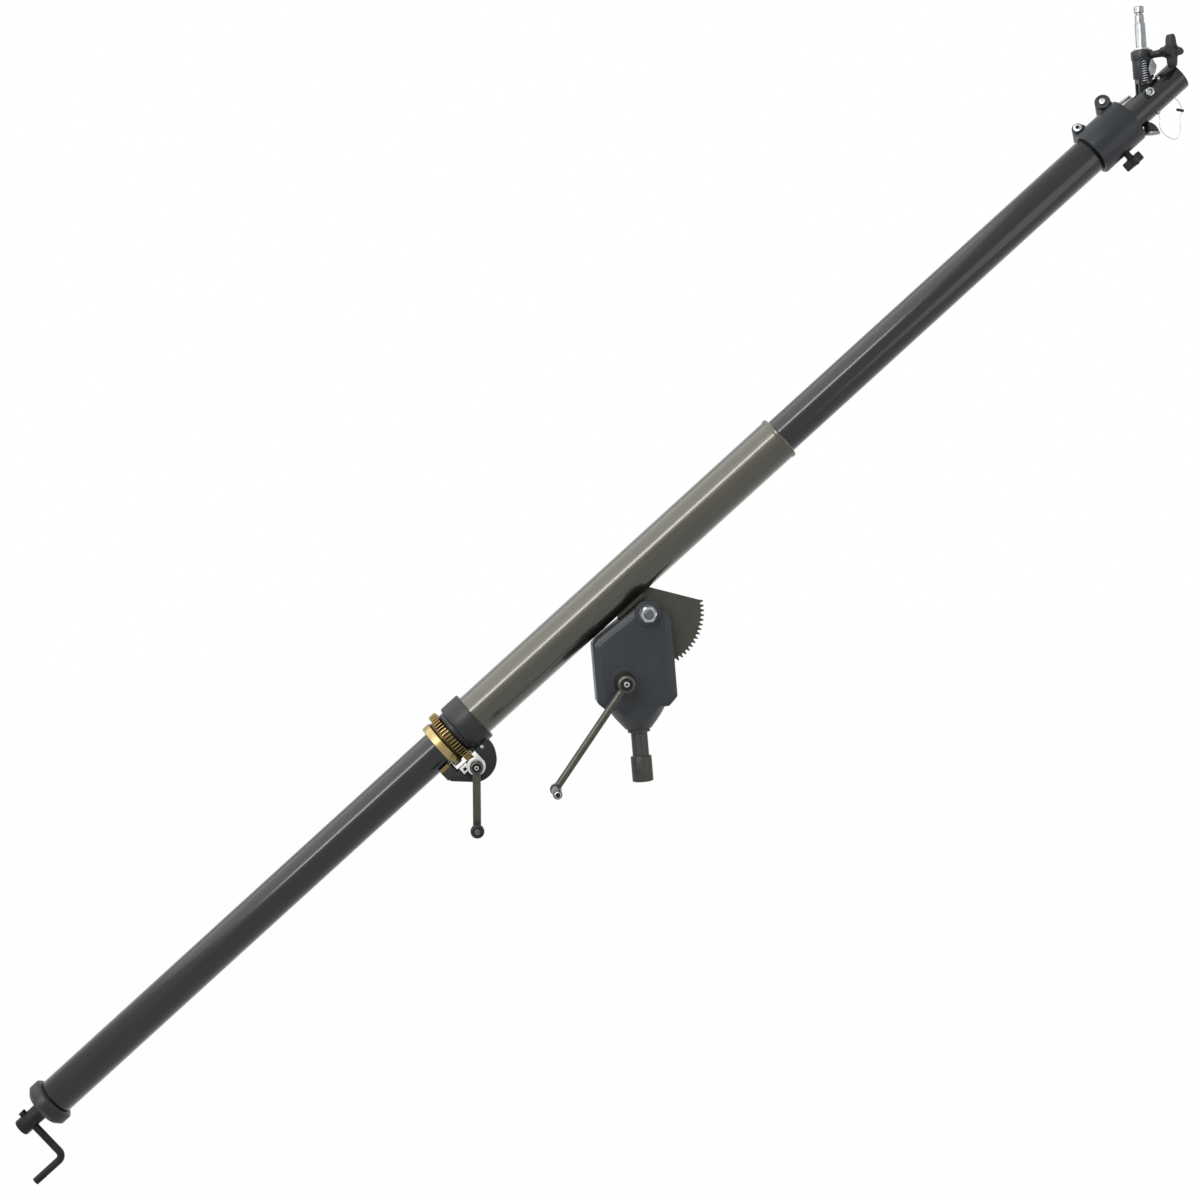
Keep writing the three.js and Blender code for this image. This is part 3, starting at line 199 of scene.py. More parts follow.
def close_shape():
    """Turns every face of the edited piece outwards and leaves edit mode."""
    bpy.ops.mesh.select_all(action="SELECT")
    bpy.ops.mesh.normals_make_consistent(inside=False)
    bpy.ops.object.mode_set(mode="OBJECT")


def filled_outline(points, level):
    """A face through points in the plane at a level along z, left selected in edit mode."""
    bpy.ops.object.select_all(action="DESELECT")
    bpy.ops.mesh.primitive_circle_add(vertices=len(points), radius=MM, fill_type="NGON")
    piece = bpy.context.object
    bpy.ops.object.mode_set(mode="EDIT")
    shape = bmesh.from_edit_mesh(piece.data)
    shape.verts.ensure_lookup_table()
    for vertex, (x, y) in zip(shape.verts, points):
        vertex.co = (x * MM, y * MM, level * MM)
    bmesh.update_edit_mesh(piece.data)
    bpy.ops.mesh.select_all(action="SELECT")
    return piece


def wire_along(name, route, radius, smoothness):
    """A round wire of one open spline along a route in metres."""
    curve = bpy.data.curves.new(name, "CURVE")
    curve.dimensions = "3D"
    curve.bevel_depth = radius * MM
    curve.bevel_resolution = smoothness
    curve.use_fill_caps = True
    spline = curve.splines.new("POLY")
    spline.points.add(len(route) - 1)
    spline.use_smooth = True
    for point, place in zip(spline.points, route):
        point.co = (*place, 1)
    wire = bpy.data.objects.new(name, curve)
    bpy.context.scene.collection.objects.link(wire)
    return wire


def wire_mesh(name, route, radius, smoothness):
    """The same wire as a mesh."""
    only(wire_along(name, route, radius, smoothness))
    bpy.ops.object.convert(target="MESH")
    return bpy.context.object


def rounded(piece, width, segments=3, angle=30):
    """Breaks the sharp edges of a piece."""
    only(piece)
    edge = piece.modifiers.new("broken_edges", "BEVEL")
    edge.width = width * MM
    edge.segments = segments
    edge.limit_method = "ANGLE"
    edge.angle_limit = math.radians(angle)
    edge.miter_outer = "MITER_ARC"
    bpy.ops.object.modifier_apply(modifier=edge.name)
    return piece


def turned(line, axis="z", at=(0, 0, 0), sides=96, edge=0.0):
    """A lathe piece through (station, radius) pairs; a line that ends where it starts is a ring."""
    is_ring = line[0] == line[-1]
    bpy.ops.object.select_all(action="DESELECT")
    station, radius = line[0]
    bpy.ops.mesh.primitive_circle_add(
        vertices=sides,
        radius=radius * MM,
        fill_type="NOTHING" if is_ring else "NGON",
        location=(0, 0, station * MM),
    )
    piece = bpy.context.object
    settle()
    bpy.ops.object.mode_set(mode="EDIT")
    bpy.ops.mesh.select_all(action="SELECT")
    for next_station, next_radius in line[1:]:
        extrude(next_station - station)
        share = next_radius / radius
        bpy.ops.transform.resize(value=(share, share, 1), center_override=(0, 0, next_station * MM))
        station, radius = next_station, next_radius
    bpy.ops.mesh.select_all(action="SELECT")
    bpy.ops.mesh.remove_doubles(threshold=1e-6)
    close_shape()
    if edge:
        rounded(piece, edge)
    return lay(piece, Matrix.Translation(Vector(at) * MM) @ ALONG[axis])


def ring(radius, bore, start, end, axis="z", at=(0, 0, 0), sides=96, edge=0.3):
    line = [(start, bore), (start, radius), (end, radius), (end, bore), (start, bore)]
    return turned(line, axis, at, sides, edge)


def rod(radius, start, end, axis="z", at=(0, 0, 0), sides=48, edge=0.0):
    return turned([(start, radius), (end, radius)], axis, at, sides, edge)


def cut_plate(outline, near, far, edge, segments=2, corner=0.0):
    """A plate cut to an outline of (x, z) points, between two depths along y."""
    area = sum(a[0] * b[1] - b[0] * a[1] for a, b in zip(outline, outline[1:] + outline[:1]))
    piece = filled_outline(outline if area > 0 else outline[::-1], -far)
    if corner:
        bpy.ops.mesh.bevel(offset=corner * MM, segments=6, affect="VERTICES")
        bpy.ops.mesh.select_all(action="SELECT")
    extrude(far - near)
    close_shape()
    if edge:
        rounded(piece, edge, segments)
    return lay(piece, ALONG["face"])


def block(x0, x1, y0, y1, z0, z1, edge=0.4):
    """A squared block with its edges broken."""
    bpy.ops.object.select_all(action="DESELECT")
    middle = Vector((x0 + x1, y0 + y1, z0 + z1)) * (MM / 2)
    bpy.ops.mesh.primitive_cube_add(size=1, location=middle)
    piece = bpy.context.object
    bpy.ops.transform.resize(value=((x1 - x0) * MM, (y1 - y0) * MM, (z1 - z0) * MM))
    settle()
    if edge:
        rounded(piece, edge, 2)
    return piece


def combined(piece, operation, others):
    """Adds, takes away or intersects the other shapes, which are used up."""
    for other in others:
        only(piece)
        step = piece.modifiers.new("fitted", "BOOLEAN")
        step.operation = operation
        step.solver = "EXACT"
        step.object = other
        bpy.ops.object.modifier_apply(modifier=step.name)
        bpy.data.objects.remove(other)
    return piece


def welded(piece, *others):
    return combined(piece, "UNION", others)


def machined(piece, *cutters):
    return combined(piece, "DIFFERENCE", cutters)


def seat(piece, name, place, body, finish, *nodes, slot=None, angle=32):
    """Puts a finished piece in its place, on its body, for the CAD nodes that it stands for."""
    lay(piece, place)
    bpy.ops.object.mode_set(mode="EDIT")
    bpy.ops.mesh.select_all(action="SELECT")
    bpy.ops.mesh.remove_doubles(threshold=2e-6)
    bpy.ops.object.mode_set(mode="OBJECT")
    bpy.ops.object.shade_smooth_by_angle(angle=math.radians(angle))
    piece.name = name
    piece.data.name = name
    piece.data.materials.clear()
    piece.data.materials.append(FINISH[finish])
    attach(piece, body)
    if nodes:
        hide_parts(*nodes)
    return piece


def bar_between(start, end, radius, sides, edge):
    """A round bar from one point to another."""
    a, b = Vector(start), Vector(end)
    length = (b - a).length
    piece = rod(radius, 0, length, sides=sides, edge=edge)
    turn = (b - a).to_track_quat("Z", "Y").to_matrix().to_4x4()
    return lay(piece, Matrix.Translation(a * MM) @ turn)


def socket_screw(head_r, head, key, at, start):
    """A cap screw head with a hexagon socket, its seat at start and its top on the near side."""
    top = start - head
    line = [(start, head_r), (top + 0.7, head_r), (top + 0.21, head_r - 0.35), (top, head_r - 0.9)]
    return machined(turned(line, "y", at, 48), rod(key, top + head * 0.6, top - 1, "y", at, 6))


def socket_shade_plug(name, place, body, key, at, face):
    """A dark plug as painted shade on the floor of a screw's hexagon socket, seen from the near side."""
    shade_disc = rod(key * 0.96, face - 0.7, face, "y", at, 6)
    rounded(shade_disc, 0.1)
    seat(shade_disc, f"{name}_socket", place, body, "oxide")


def hexagon(corner_r, start, end, at):
    """A hexagon through the arm, with the corners of both its faces chamfered."""
    blank = rod(corner_r, start, end, "y", at, 6)
    flat = corner_r * math.cos(math.radians(30))
    slope = (corner_r - flat) * 0.58
    line = [(start, flat), (start + slope, corner_r), (end - slope, corner_r), (end, flat)]
    return combined(blank, "INTERSECT", [turned(line, "y", at, 72)])


# Finishes


class Wire:
    """A shader socket that takes part in plain expressions."""

    def __init__(self, finish, socket):
        self.finish = finish
        self.socket = socket

    def maths(self, operation, first, second):
        return self.finish.node("ShaderNodeMath", {"operation": operation}, {0: first, 1: second})

    def __add__(self, other):
        return self.maths("ADD", self, other)

    def __radd__(self, other):
        return self.maths("ADD", other, self)

    def __sub__(self, other):
        return self.maths("SUBTRACT", self, other)

    def __rsub__(self, other):
        return self.maths("SUBTRACT", other, self)

    def __mul__(self, other):
        return self.maths("MULTIPLY", self, other)

    def __rmul__(self, other):
        return self.maths("MULTIPLY", other, self)

    def __pow__(self, other):
        return self.maths("POWER", self, other)


class Nodes:
    """A node tree to which any node is added in one way."""

    def __init__(self, tree):
        self.tree = tree

    def node(self, kind, settings, inputs, output=0):
        made = self.tree.nodes.new(kind)
        for key, value in settings.items():
            if key == "stops":
                self.set_stops(made.color_ramp, value)
            else:
                setattr(made, key, value)
        for key, value in inputs.items():
            if isinstance(value, Wire):
                self.tree.links.new(value.socket, made.inputs[key])
            else:
                made.inputs[key].default_value = value
        return Wire(self, made.outputs[output])

    def set_stops(self, ramp, stops):
        while len(ramp.elements) < len(stops):
            ramp.elements.new(0.5)
        for element, (position, value) in zip(ramp.elements, stops):
            element.position = position
            element.color = (value, value, value, 1)

    def seen_rays(self):
        """One where the camera, a reflection or clear glass looks, so that metal shows the white too."""
        kinds = ("Is Camera Ray", "Is Glossy Ray", "Is Transmission Ray")
        camera, glossy, clear = [self.node("ShaderNodeLightPath", {}, {}, kind) for kind in kinds]
        return camera + glossy + clear


class Finish(Nodes):
    """A procedural finish: a material, its shader and the nodes that drive it."""

    def __init__(self, name, metallic, coat=0.0, specular=0.5):
        self.material = bpy.data.materials.new(name)
        self.material.use_nodes = True
        super().__init__(self.material.node_tree)
        self.shader = self.tree.nodes["Principled BSDF"]
        self.shader.inputs["Metallic"].default_value = metallic
        self.shader.inputs["Coat Weight"].default_value = coat
        self.shader.inputs["Coat Roughness"].default_value = 0.13
        self.shader.inputs["Specular IOR Level"].default_value = specular
        self.place = self.node("ShaderNodeTexCoord", {}, {}, "Object")

    def feed(self, socket, value):
        self.tree.links.new(value.socket, self.shader.inputs[socket])

    def noise(self, scale, detail=3.0, roughness=0.55, place=None):
        inputs = {"Vector": place or self.place, "Scale": scale, "Detail": detail, "Roughness": roughness}
        return self.node("ShaderNodeTexNoise", {}, inputs)

    def stretched(self, along, across, direction):
        """The place with one direction drawn out, for grain that runs that way."""
        axis = Vector(direction).normalized()
        side = Vector((0, 1, 0))
        if abs(axis.y) > 0.9:
            side = Vector((1, 0, 0))
        other = axis.cross(side).normalized()
        parts = []
        for vector, scale in ((axis, along), (side, across), (other, across)):
            parts.append(self.dot(tuple(vector * scale)))
        return self.node("ShaderNodeCombineXYZ", {}, {0: parts[0], 1: parts[1], 2: parts[2]})

    def dot(self, vector):
        inputs = {0: self.place, 1: vector}
        return self.node("ShaderNodeVectorMath", {"operation": "DOT_PRODUCT"}, inputs, "Value")

    def mask(self, value, low, high):
        return self.node("ShaderNodeValToRGB", {"stops": [(low, 0.0), (high, 1.0)]}, {0: value})

    def maths_range(self, value, start, end):
        """Nought at the start and one at the end, held beyond them."""
        inputs = {0: value, 1: start, 2: end, 3: 0.0, 4: 1.0}
        return self.node("ShaderNodeMapRange", {"clamp": True}, inputs)

    def mixed(self, share, first, second):
        settings = {"data_type": "RGBA", "clamp_factor": True}
        return self.node("ShaderNodeMix", settings, {0: share, 6: first, 7: second}, 2)

    def bump(self, height, strength, distance):
        inputs = {"Height": height, "Strength": strength, "Distance": distance}
        self.feed("Normal", self.node("ShaderNodeBump", {}, inputs))


def shades(codes):
    """Linear colours from codes of six hexadecimal digits."""
    colours = []
    for code in codes.split():
        levels = [int(code[i : i + 2], 16) / 255 for i in (0, 2, 4)]
        linear = [v / 12.92 if v < 0.04045 else ((v + 0.055) / 1.055) ** 2.4 for v in levels]
        colours.append((*linear, 1))
    return colours


def drawn_tube(name, colours, metallic, roughness, coat, specular):
    """Tube finish: long drawing streaks under a satin skin, with a few rubbed bands."""
    base, streak, worn = shades(colours)
    f = Finish(name, metallic, coat, specular)
    grain = f.noise(1.0, 3.0, 0.5, f.stretched(4, 180, BOOM_LINE))
    cloud = f.noise(14.0, 3.0)
    scuff = f.mask(f.noise(1.0, 5.0, 0.7, f.stretched(60, 420, BOOM_LINE)), 0.63, 0.72)
    tone = f.mixed(f.mask(grain, 0.35, 0.68), base, streak)
    tone = f.mixed(scuff * f.mask(cloud, 0.48, 0.62) * 0.35, tone, worn)
    f.feed("Base Color", tone)
    f.feed("Roughness", roughness + (grain - 0.5) * 0.16 + (cloud - 0.5) * 0.12)
    f.bump(grain, 0.02, 0.0001)
    return f.material


def cast_enamel(name, colours, roughness):
    """Satin enamel on a casting: fine orange peel, faint clouding and small rubbed specks."""
    base, light, chip = shades(colours)
    f = Finish(name, 0.0, 0.0, 0.35)
    peel = f.noise(900.0, 2.0, 0.5)
    cloud = f.noise(22.0, 4.0, 0.6)
    speck = f.mask(f.noise(420.0, 3.0, 0.6), 0.7, 0.76)
    tone = f.mixed(f.mask(cloud, 0.36, 0.66), base, light)
    tone = f.mixed(speck * f.mask(cloud, 0.5, 0.6) * 0.5, tone, chip)
    f.feed("Base Color", tone)
    f.feed("Roughness", roughness + (peel - 0.5) * 0.12 + (cloud - 0.5) * 0.16)
    f.bump(peel + f.noise(160.0, 2.0) * 0.8, 0.12, 0.0002)
    return f.material


def machined_metal(name, colours, roughness):
    """Turned metal: fine tool rings across the boom with a light smear of oil."""
    base, dark = shades(colours)
    f = Finish(name, 1.0)
    lines = f.noise(1.0, 3.0, 0.6, f.stretched(1400, 30, BOOM_LINE))
    smear = f.noise(55.0, 4.0, 0.6)
    tone = f.mixed(f.mask(smear, 0.4, 0.7) * 0.7 + (lines - 0.5) * 0.35, base, dark)
    f.feed("Base Color", tone)
    f.feed("Roughness", roughness + (lines - 0.5) * 0.2 + (smear - 0.5) * 0.14)
    f.bump(lines, 0.015, 0.0001)
    return f.material


def treated_steel(name, colours, roughness, metallic):
    """Phosphated or oiled steel: mottled grey crystals with a brown cast in places."""
    base, light, rust = shades(colours)
    f = Finish(name, metallic)
    crystal = f.node("ShaderNodeTexVoronoi", {}, {"Vector": f.place, "Scale": 620.0}, "Distance")
    cloud = f.noise(45.0, 5.0, 0.65)
    stain = f.mask(f.noise(26.0, 4.0, 0.6), 0.52, 0.72)
    tone = f.mixed(f.mask(cloud, 0.34, 0.68), base, light)
    tone = f.mixed(stain * 0.45, tone, rust)
    f.feed("Base Color", tone)
    f.feed("Roughness", roughness + (crystal - 0.4) * 0.1 + (cloud - 0.5) * 0.2)
    f.bump(crystal, 0.03, 0.0001)
    return f.material


def plated(name, colours, roughness, metallic=1.0):
    """Plated fastener metal: bright, with faint swirls and a duller film."""
    base, dull = shades(colours)
    f = Finish(name, metallic)
    film = f.noise(120.0, 4.0, 0.6)
    swirl = f.noise(700.0, 3.0, 0.5)
    f.feed("Base Color", f.mixed(f.mask(film, 0.42, 0.66), base, dull))
    f.feed("Roughness", roughness + (film - 0.5) * 0.14 + (swirl - 0.5) * 0.06)
    f.bump(swirl, 0.015, 0.0001)
    return f.material


def moulded(name, colours, roughness):
    """Moulded plastic with a fine spark-eroded grain."""
    base, light = shades(colours)
    f = Finish(name, 0.0, 0.0, 0.3)
    grain = f.noise(1700.0, 2.0, 0.5)
    cloud = f.noise(60.0, 3.0)
    f.feed("Base Color", f.mixed(f.mask(cloud, 0.4, 0.64), base, light))
    f.feed("Roughness", roughness + (grain - 0.5) * 0.14)
    f.bump(grain, 0.3, 0.0003)
    return f.material


def wheel_brass(name, colours, roughness, shade_radius):
    """Cut brass with random tarnish, and painted shade below a radius about the boom, in the tooth gaps and
    the groove.
    """
    base, tarnish_and_gap_shade, bright = shades(colours)
    f = Finish(name, 1.0)
    aside = f.dot(THROUGH)
    above = f.dot(BOOM_SIDE) - BOOM_ORIGIN.dot(Vector(BOOM_SIDE)) * MM
    radius = (aside * aside + above * above) ** 0.5
    cloud = f.noise(70.0, 4.0, 0.6)
    cuts = f.noise(1.0, 3.0, 0.6, f.stretched(1800, 60, BOOM_LINE))
    tone = f.mixed(f.mask(cloud, 0.45, 0.75) * 0.25, base, tarnish_and_gap_shade)
    tone = f.mixed(f.mask(cuts, 0.55, 0.75) * 0.4, tone, bright)
    # Painted shade: past the flange's edge, the tooth gaps and the groove turn dark below the radius.
    if shade_radius:
        gap = f.maths_range(radius, (shade_radius + 1.6) * MM, shade_radius * MM)
        station = f.dot(BOOM_LINE) - BOOM_ORIGIN.dot(Vector(BOOM_LINE)) * MM
        rim = f.maths_range(station, -0.3105, -0.3095)
        tone = f.mixed(gap * rim, tone, tarnish_and_gap_shade)
    f.feed("Base Color", tone)
    f.feed("Roughness", roughness + (cuts - 0.5) * 0.22 + (cloud - 0.5) * 0.2)
    f.bump(cuts, 0.08, 0.0002)
    return f.material


# Each finish by its colours, its roughness and, for steel and plate, how metallic it is; a tube gives
# metal, roughness, coat and specular, and brass the radius under which its tooth gaps and groove get
# painted shade
FINISH = {
    "main": drawn_tube("satin_black_tube", "0e1012 131619 4a4e52", 0.0, 0.34, 0.7, 0.12),
    "sleeve": drawn_tube("olive_gunmetal_tube", "3c3b32 444238 8f8c80", 0.85, 0.34, 0.95, 0.5),
    "enamel": cast_enamel("housing_enamel", "23272b 2a2e32 5a5e62", 0.42),
    "collar": cast_enamel("collar_enamel", "161718 1c1e1f 525558", 0.4),
    "clamp": cast_enamel("clamp_enamel", "171b20 1e2328 676b6f", 0.38),
    "plate": cast_enamel("plate_black", "101112 16181a 494c4e", 0.5),
    "holder": cast_enamel("holder_enamel", "1b1d20 23262a 696c6f", 0.36),
    "spigot": treated_steel("spigot_steel", "3f3e3b 4b4a47 453f37", 0.46, 0.85),
    "crank": treated_steel("crank_steel", "454540 52514b 484236", 0.34, 0.9),
    "sector": treated_steel("sector_steel", "3b3b35 43423c 403c31", 0.52, 0.6),
    "oxide": treated_steel("black_oxide_steel", "1e1f1f 2a2b2a 2a251e", 0.42, 0.8),
    "brass": wheel_brass("wheel_brass", "9d8c60 463a24 b9ab84", 0.34, 36.2),
    "shoe": wheel_brass("shoe_brass", "7d7048 5a4e32 978a62", 0.42, 0.0),
    "bronze": machined_metal("bush_bronze", "8a6a3c 5b4728", 0.4),
    "zinc": plated("zinc_plate", "b0b3b6 989b9e", 0.26),
    "washer": plated("washer_zinc", "5f6366 505356", 0.42),
    "grey_zinc": plated("latch_zinc", "8e9193 76797c", 0.42, 0.8),
    "aluminium": plated("bearing_aluminium", "d4d4d2 bfc0bf", 0.42, 0.75),
    "chrome": plated("stud_chrome", "96999b 85888a", 0.2),
    "lever": plated("lever_chrome", "b9bbbd 9fa1a3", 0.16),
    "plastic": moulded("knob_plastic", "18191b 1f2123", 0.5),
    "cap": moulded("cap_plastic", "131415 191a1b", 0.55),
}

# The record's material slot for each finish that a new piece wears
SLOT = {
    "main": "satin_black",
    "sleeve": "gunmetal",
    **dict.fromkeys(("enamel", "collar", "clamp", "plate", "holder"), "cast_paint"),
    **dict.fromkeys(("spigot", "crank"), "phosphate_steel"),
    "oxide": "black_oxide",
    "brass": "brass",
    **dict.fromkeys(("zinc", "washer"), "zinc"),
    "grey_zinc": "grey_zinc",
    "aluminium": "aluminium",
    **dict.fromkeys(("chrome", "lever"), "chrome"),
    "plastic": "black_plastic",
}

# The finish of each CAD node that stays in the scene; the others are enamel, and new pieces stand for them
NODE_FINISH = {
    "tilt_sector": "sector",
    "rear_plug": "oxide",
    "tip_end_plug": "cap",
    **dict.fromkeys(("roll_brake_shoe", "head_wheel"), "shoe"),
    **dict.fromkeys(("tilt_pinion", "tilt_shaft", "roll_worm", "drive_tube", "drive_rod"), "crank"),
    **dict.fromkeys(("sleeve_bush_front", "sleeve_bush_rear", "drive_tube_guide"), "bronze"),
    **dict.fromkeys(("tip_guide_ring", "tip_rear_ring", "rod_bearing"), "bronze"),
}


def dress_frame():
    """Gives every CAD node a procedural finish."""
    for name, node in NODES.items():
        finish = FINISH[NODE_FINISH.get(name, "enamel")]
        node.data.materials.clear()
        node.data.materials.append(finish)


# Housing and stand

HOUSING_OUTLINE = [(-41, 99), (41, 99), (53, 111), (53, 212), (47, 224.5)]
HOUSING_OUTLINE += [(12, 235), (-45, 197), (-53, 188), (-53, 111)]
HOUSING_CORNER = 6
# Half the gap where the two halves meet
HALF_JOINT = 0.15
# Depth of the near side and how far its outline has drawn in there, from the side wall to the raised face
HOUSING_LEVELS = [(25.0, 0.0), (26.2, 0.25), (27.2, 0.8), (28.0, 1.6), (28.6, 2.6), (29.0, 3.7)]
HOUSING_LEVELS += [(29.4, 4.7), (29.9, 5.6), (30.5, 6.3), (31.1, 7.0), (31.55, 7.8), (31.85, 8.7)]
HOUSING_LEVELS += [(32.0, 9.7)]


def pulled_in(outline, distance):
    """The outline with every side moved in by a distance."""
    sides = []
    for (x0, z0), (x1, z1) in zip(outline, outline[1:] + outline[:1]):
        length = math.hypot(x1 - x0, z1 - z0)
        dx, dz = (x1 - x0) / length, (z1 - z0) / length
        sides.append((x0 - dz * distance, z0 + dx * distance, dx, dz))
    corners = []
    for (xa, za, ax, az), (xb, zb, bx, bz) in zip(sides[-1:] + sides[:-1], sides):
        share = ((xb - xa) * bz - (zb - za) * bx) / (ax * bz - az * bx)
        corners.append((xa + ax * share, za + az * share))
    return corners


def round_corners(outline, radius, steps=6):
    """The outline with an arc of even points at each corner."""
    points = []
    for i, place in enumerate(outline):
        corner = Vector(place)
        before = Vector(outline[i - 1]) - corner
        after = Vector(outline[(i + 1) % len(outline)]) - corner
        half = before.angle(after) / 2
        reach = min(radius / math.tan(half), 0.45 * before.length, 0.45 * after.length)
        inward = (before.normalized() + after.normalized()).normalized()
        middle = corner + inward * (reach * math.tan(half) / math.sin(half))
        first = corner + before.normalized() * reach - middle
        last = corner + after.normalized() * reach - middle
        turn = math.atan2(first.x * last.y - first.y * last.x, first.dot(last))
        for step in range(steps + 1):
            c, s = math.cos(turn * step / steps), math.sin(turn * step / steps)
            points.append((middle.x + first.x * c - first.y * s, middle.y + first.x * s + first.y * c))
    return points


def housing_shell():
    """Half of the cast housing: side walls, a wide fillet and the raised face of the near side."""
    depth = HALF_JOINT
    outline = round_corners(HOUSING_OUTLINE, HOUSING_CORNER)
    shell = filled_outline(outline, depth)
    for next_depth, inset in HOUSING_LEVELS:
        extrude(next_depth - depth)
        level = round_corners(pulled_in(HOUSING_OUTLINE, inset), HOUSING_CORNER)
        shape = bmesh.from_edit_mesh(shell.data)
        places = [(Vector((x, z)) * MM, goal) for (x, z), goal in zip(outline, level)]
        for vertex in shape.verts:
            if vertex.select:
                goal = min(places, key=lambda pair: (pair[0] - vertex.co.xy).length)[1]
                vertex.co.xy = Vector(goal) * MM
        bmesh.update_edit_mesh(shell.data)
        depth, outline = next_depth, level
    close_shape()
    return lay(shell, ALONG["face"])


def housing_half():
    """The near half of the housing with its bosses, neck, gear room and bores."""
    boss = turned([(-20, 17.5), (-33.6, 17.5), (-34.3, 17.1), (-34.5, 16.4)], "y", PIVOT_AT)
    rim = turned([(-30, 19.5), (-32.3, 19.5), (-32.9, 18.9), (-33, 18)], "y", SHAFT_AT)
    neck = turned([(70.8, 17.5), (86, 30), (103, 41)])
    neck = combined(neck, "INTERSECT", [block(-50, 50, -28, -HALF_JOINT, 60, 110, 0)])
    shell = welded(housing_shell(), boss, rim, neck)
    inner = [(-38, 105), (38, 105), (47, 113), (47, 186), (-47, 186), (-47, 113)]
    room = cut_plate(inner, -25, 1, 0, corner=5)
    room = machined(room, rod(15, -40, 2, "y", SHAFT_AT, 64))
    sector_room = rod(78.5, -4.7, 2, "y", PIVOT_AT, 128)
    hub_room = rod(16.5, -12, 2, "y", PIVOT_AT, 64)
    pinion_room = rod(23.5, -5.7, 2, "y", SHAFT_AT, 64)
    pivot_bore = rod(6 + PLAY, -60, 2, "y", PIVOT_AT)
    shaft_bore = rod(7 + PLAY, -60, 2, "y", SHAFT_AT)
    spigot_bore = rod(9 + PLAY, 50, 92.3, sides=64)
    return machined(shell, room, sector_room, hub_room, pinion_room, pivot_bore, shaft_bore, spigot_bore)


def add_housing():
    """Both halves, the far one mirrored from the near one."""
    near = housing_half()
    only(near)
    bpy.ops.object.duplicate()
    far = bpy.context.object
    lay(far, Matrix.Diagonal((1, -1, 1, 1)))
    bpy.ops.object.mode_set(mode="EDIT")
    close_shape()
    seat(near, "housing_face_near", STAND, "housing", "enamel", "housing_near_half", angle=25)
    seat(far, "housing_face_far", STAND, "housing", "enamel", "housing_far_half", angle=25)


def add_spigot():
    line = [(0, 12.2), (0.5, 13.4), (1.5, 14), (32.6, 14), (33.6, 13.6), (34, 12.8), (34, 11.4), (34.6, 11)]
    line += [(65.2, 11), (66, 11.6), (66, 14.4), (66.6, 15), (70, 15), (70.5, 14.4), (70.5, 9), (92, 9)]
    spigot = machined(turned(line), turned([(-0.1, 2.2), (2.4, 0.15)], sides=32))
    seat(spigot, "stand_spigot_turned", STAND, "housing", "spigot", "stand_spigot")


def add_pivot_fasteners():
    at = PIVOT_AT
    nut = hexagon(10.9, -47.1, -37.1, at)
    machined(nut, turned([(-48, 6.9), (-46.2, 6.3), (-36, 6.3)], "y", at, 48))
    seat(nut, "pivot_hex_nut", STAND, "housing", "zinc", "pivot_nut")
    threads = [(-49.1, 4.9), (-48.5, 5.6)]
    for turn in range(5):
        low = -48.3 + turn * 1.5
        threads += [(low, 6.0), (low + 0.35, 6.0), (low + 0.75, 5.5)]
    threads += [(-40.6, 6.0), (37, 6.0)]
    bolt = welded(turned(threads, "y", at, 48), hexagon(10.9, 37.1, 47.1, at))
    seat(bolt, "pivot_hex_bolt", STAND, "housing", "washer", "pivot_bolt")
    for name, start, end in (("near", -36.8, -34.8), ("far", 34.8, 36.8)):
        washer = ring(12, 6.3, start, end, "y", at, 64, 0.35)
        seat(washer, f"pivot_flat_washer_{name}", STAND, "housing", "washer", f"pivot_washer_{name}")


def hub_cap(name, place, body, face, radius, screw_r):
    """A dark cap on a crank's hub, held by a small bright screw."""
    line = [(face, radius), (face - 0.5, radius), (face - 1.2, radius - 0.7), (face - 1.2, screw_r + 0.5)]
    cap = turned([*line, (face - 0.4, screw_r + 0.2)], "y", sides=64)
    seat(cap, f"{name}_hub_cap", place, body, "oxide")
    screw = socket_screw(screw_r, 1.4, screw_r * 0.5, (0, 0, 0), face - 0.4)
    seat(screw, f"{name}_hub_screw", place, body, "zinc")
    # Painted shade on the floor of the hub screw's socket.
    socket_shade_plug(f"{name}_hub", place, body, screw_r * 0.5, (0, 0, 0), face - 0.3)


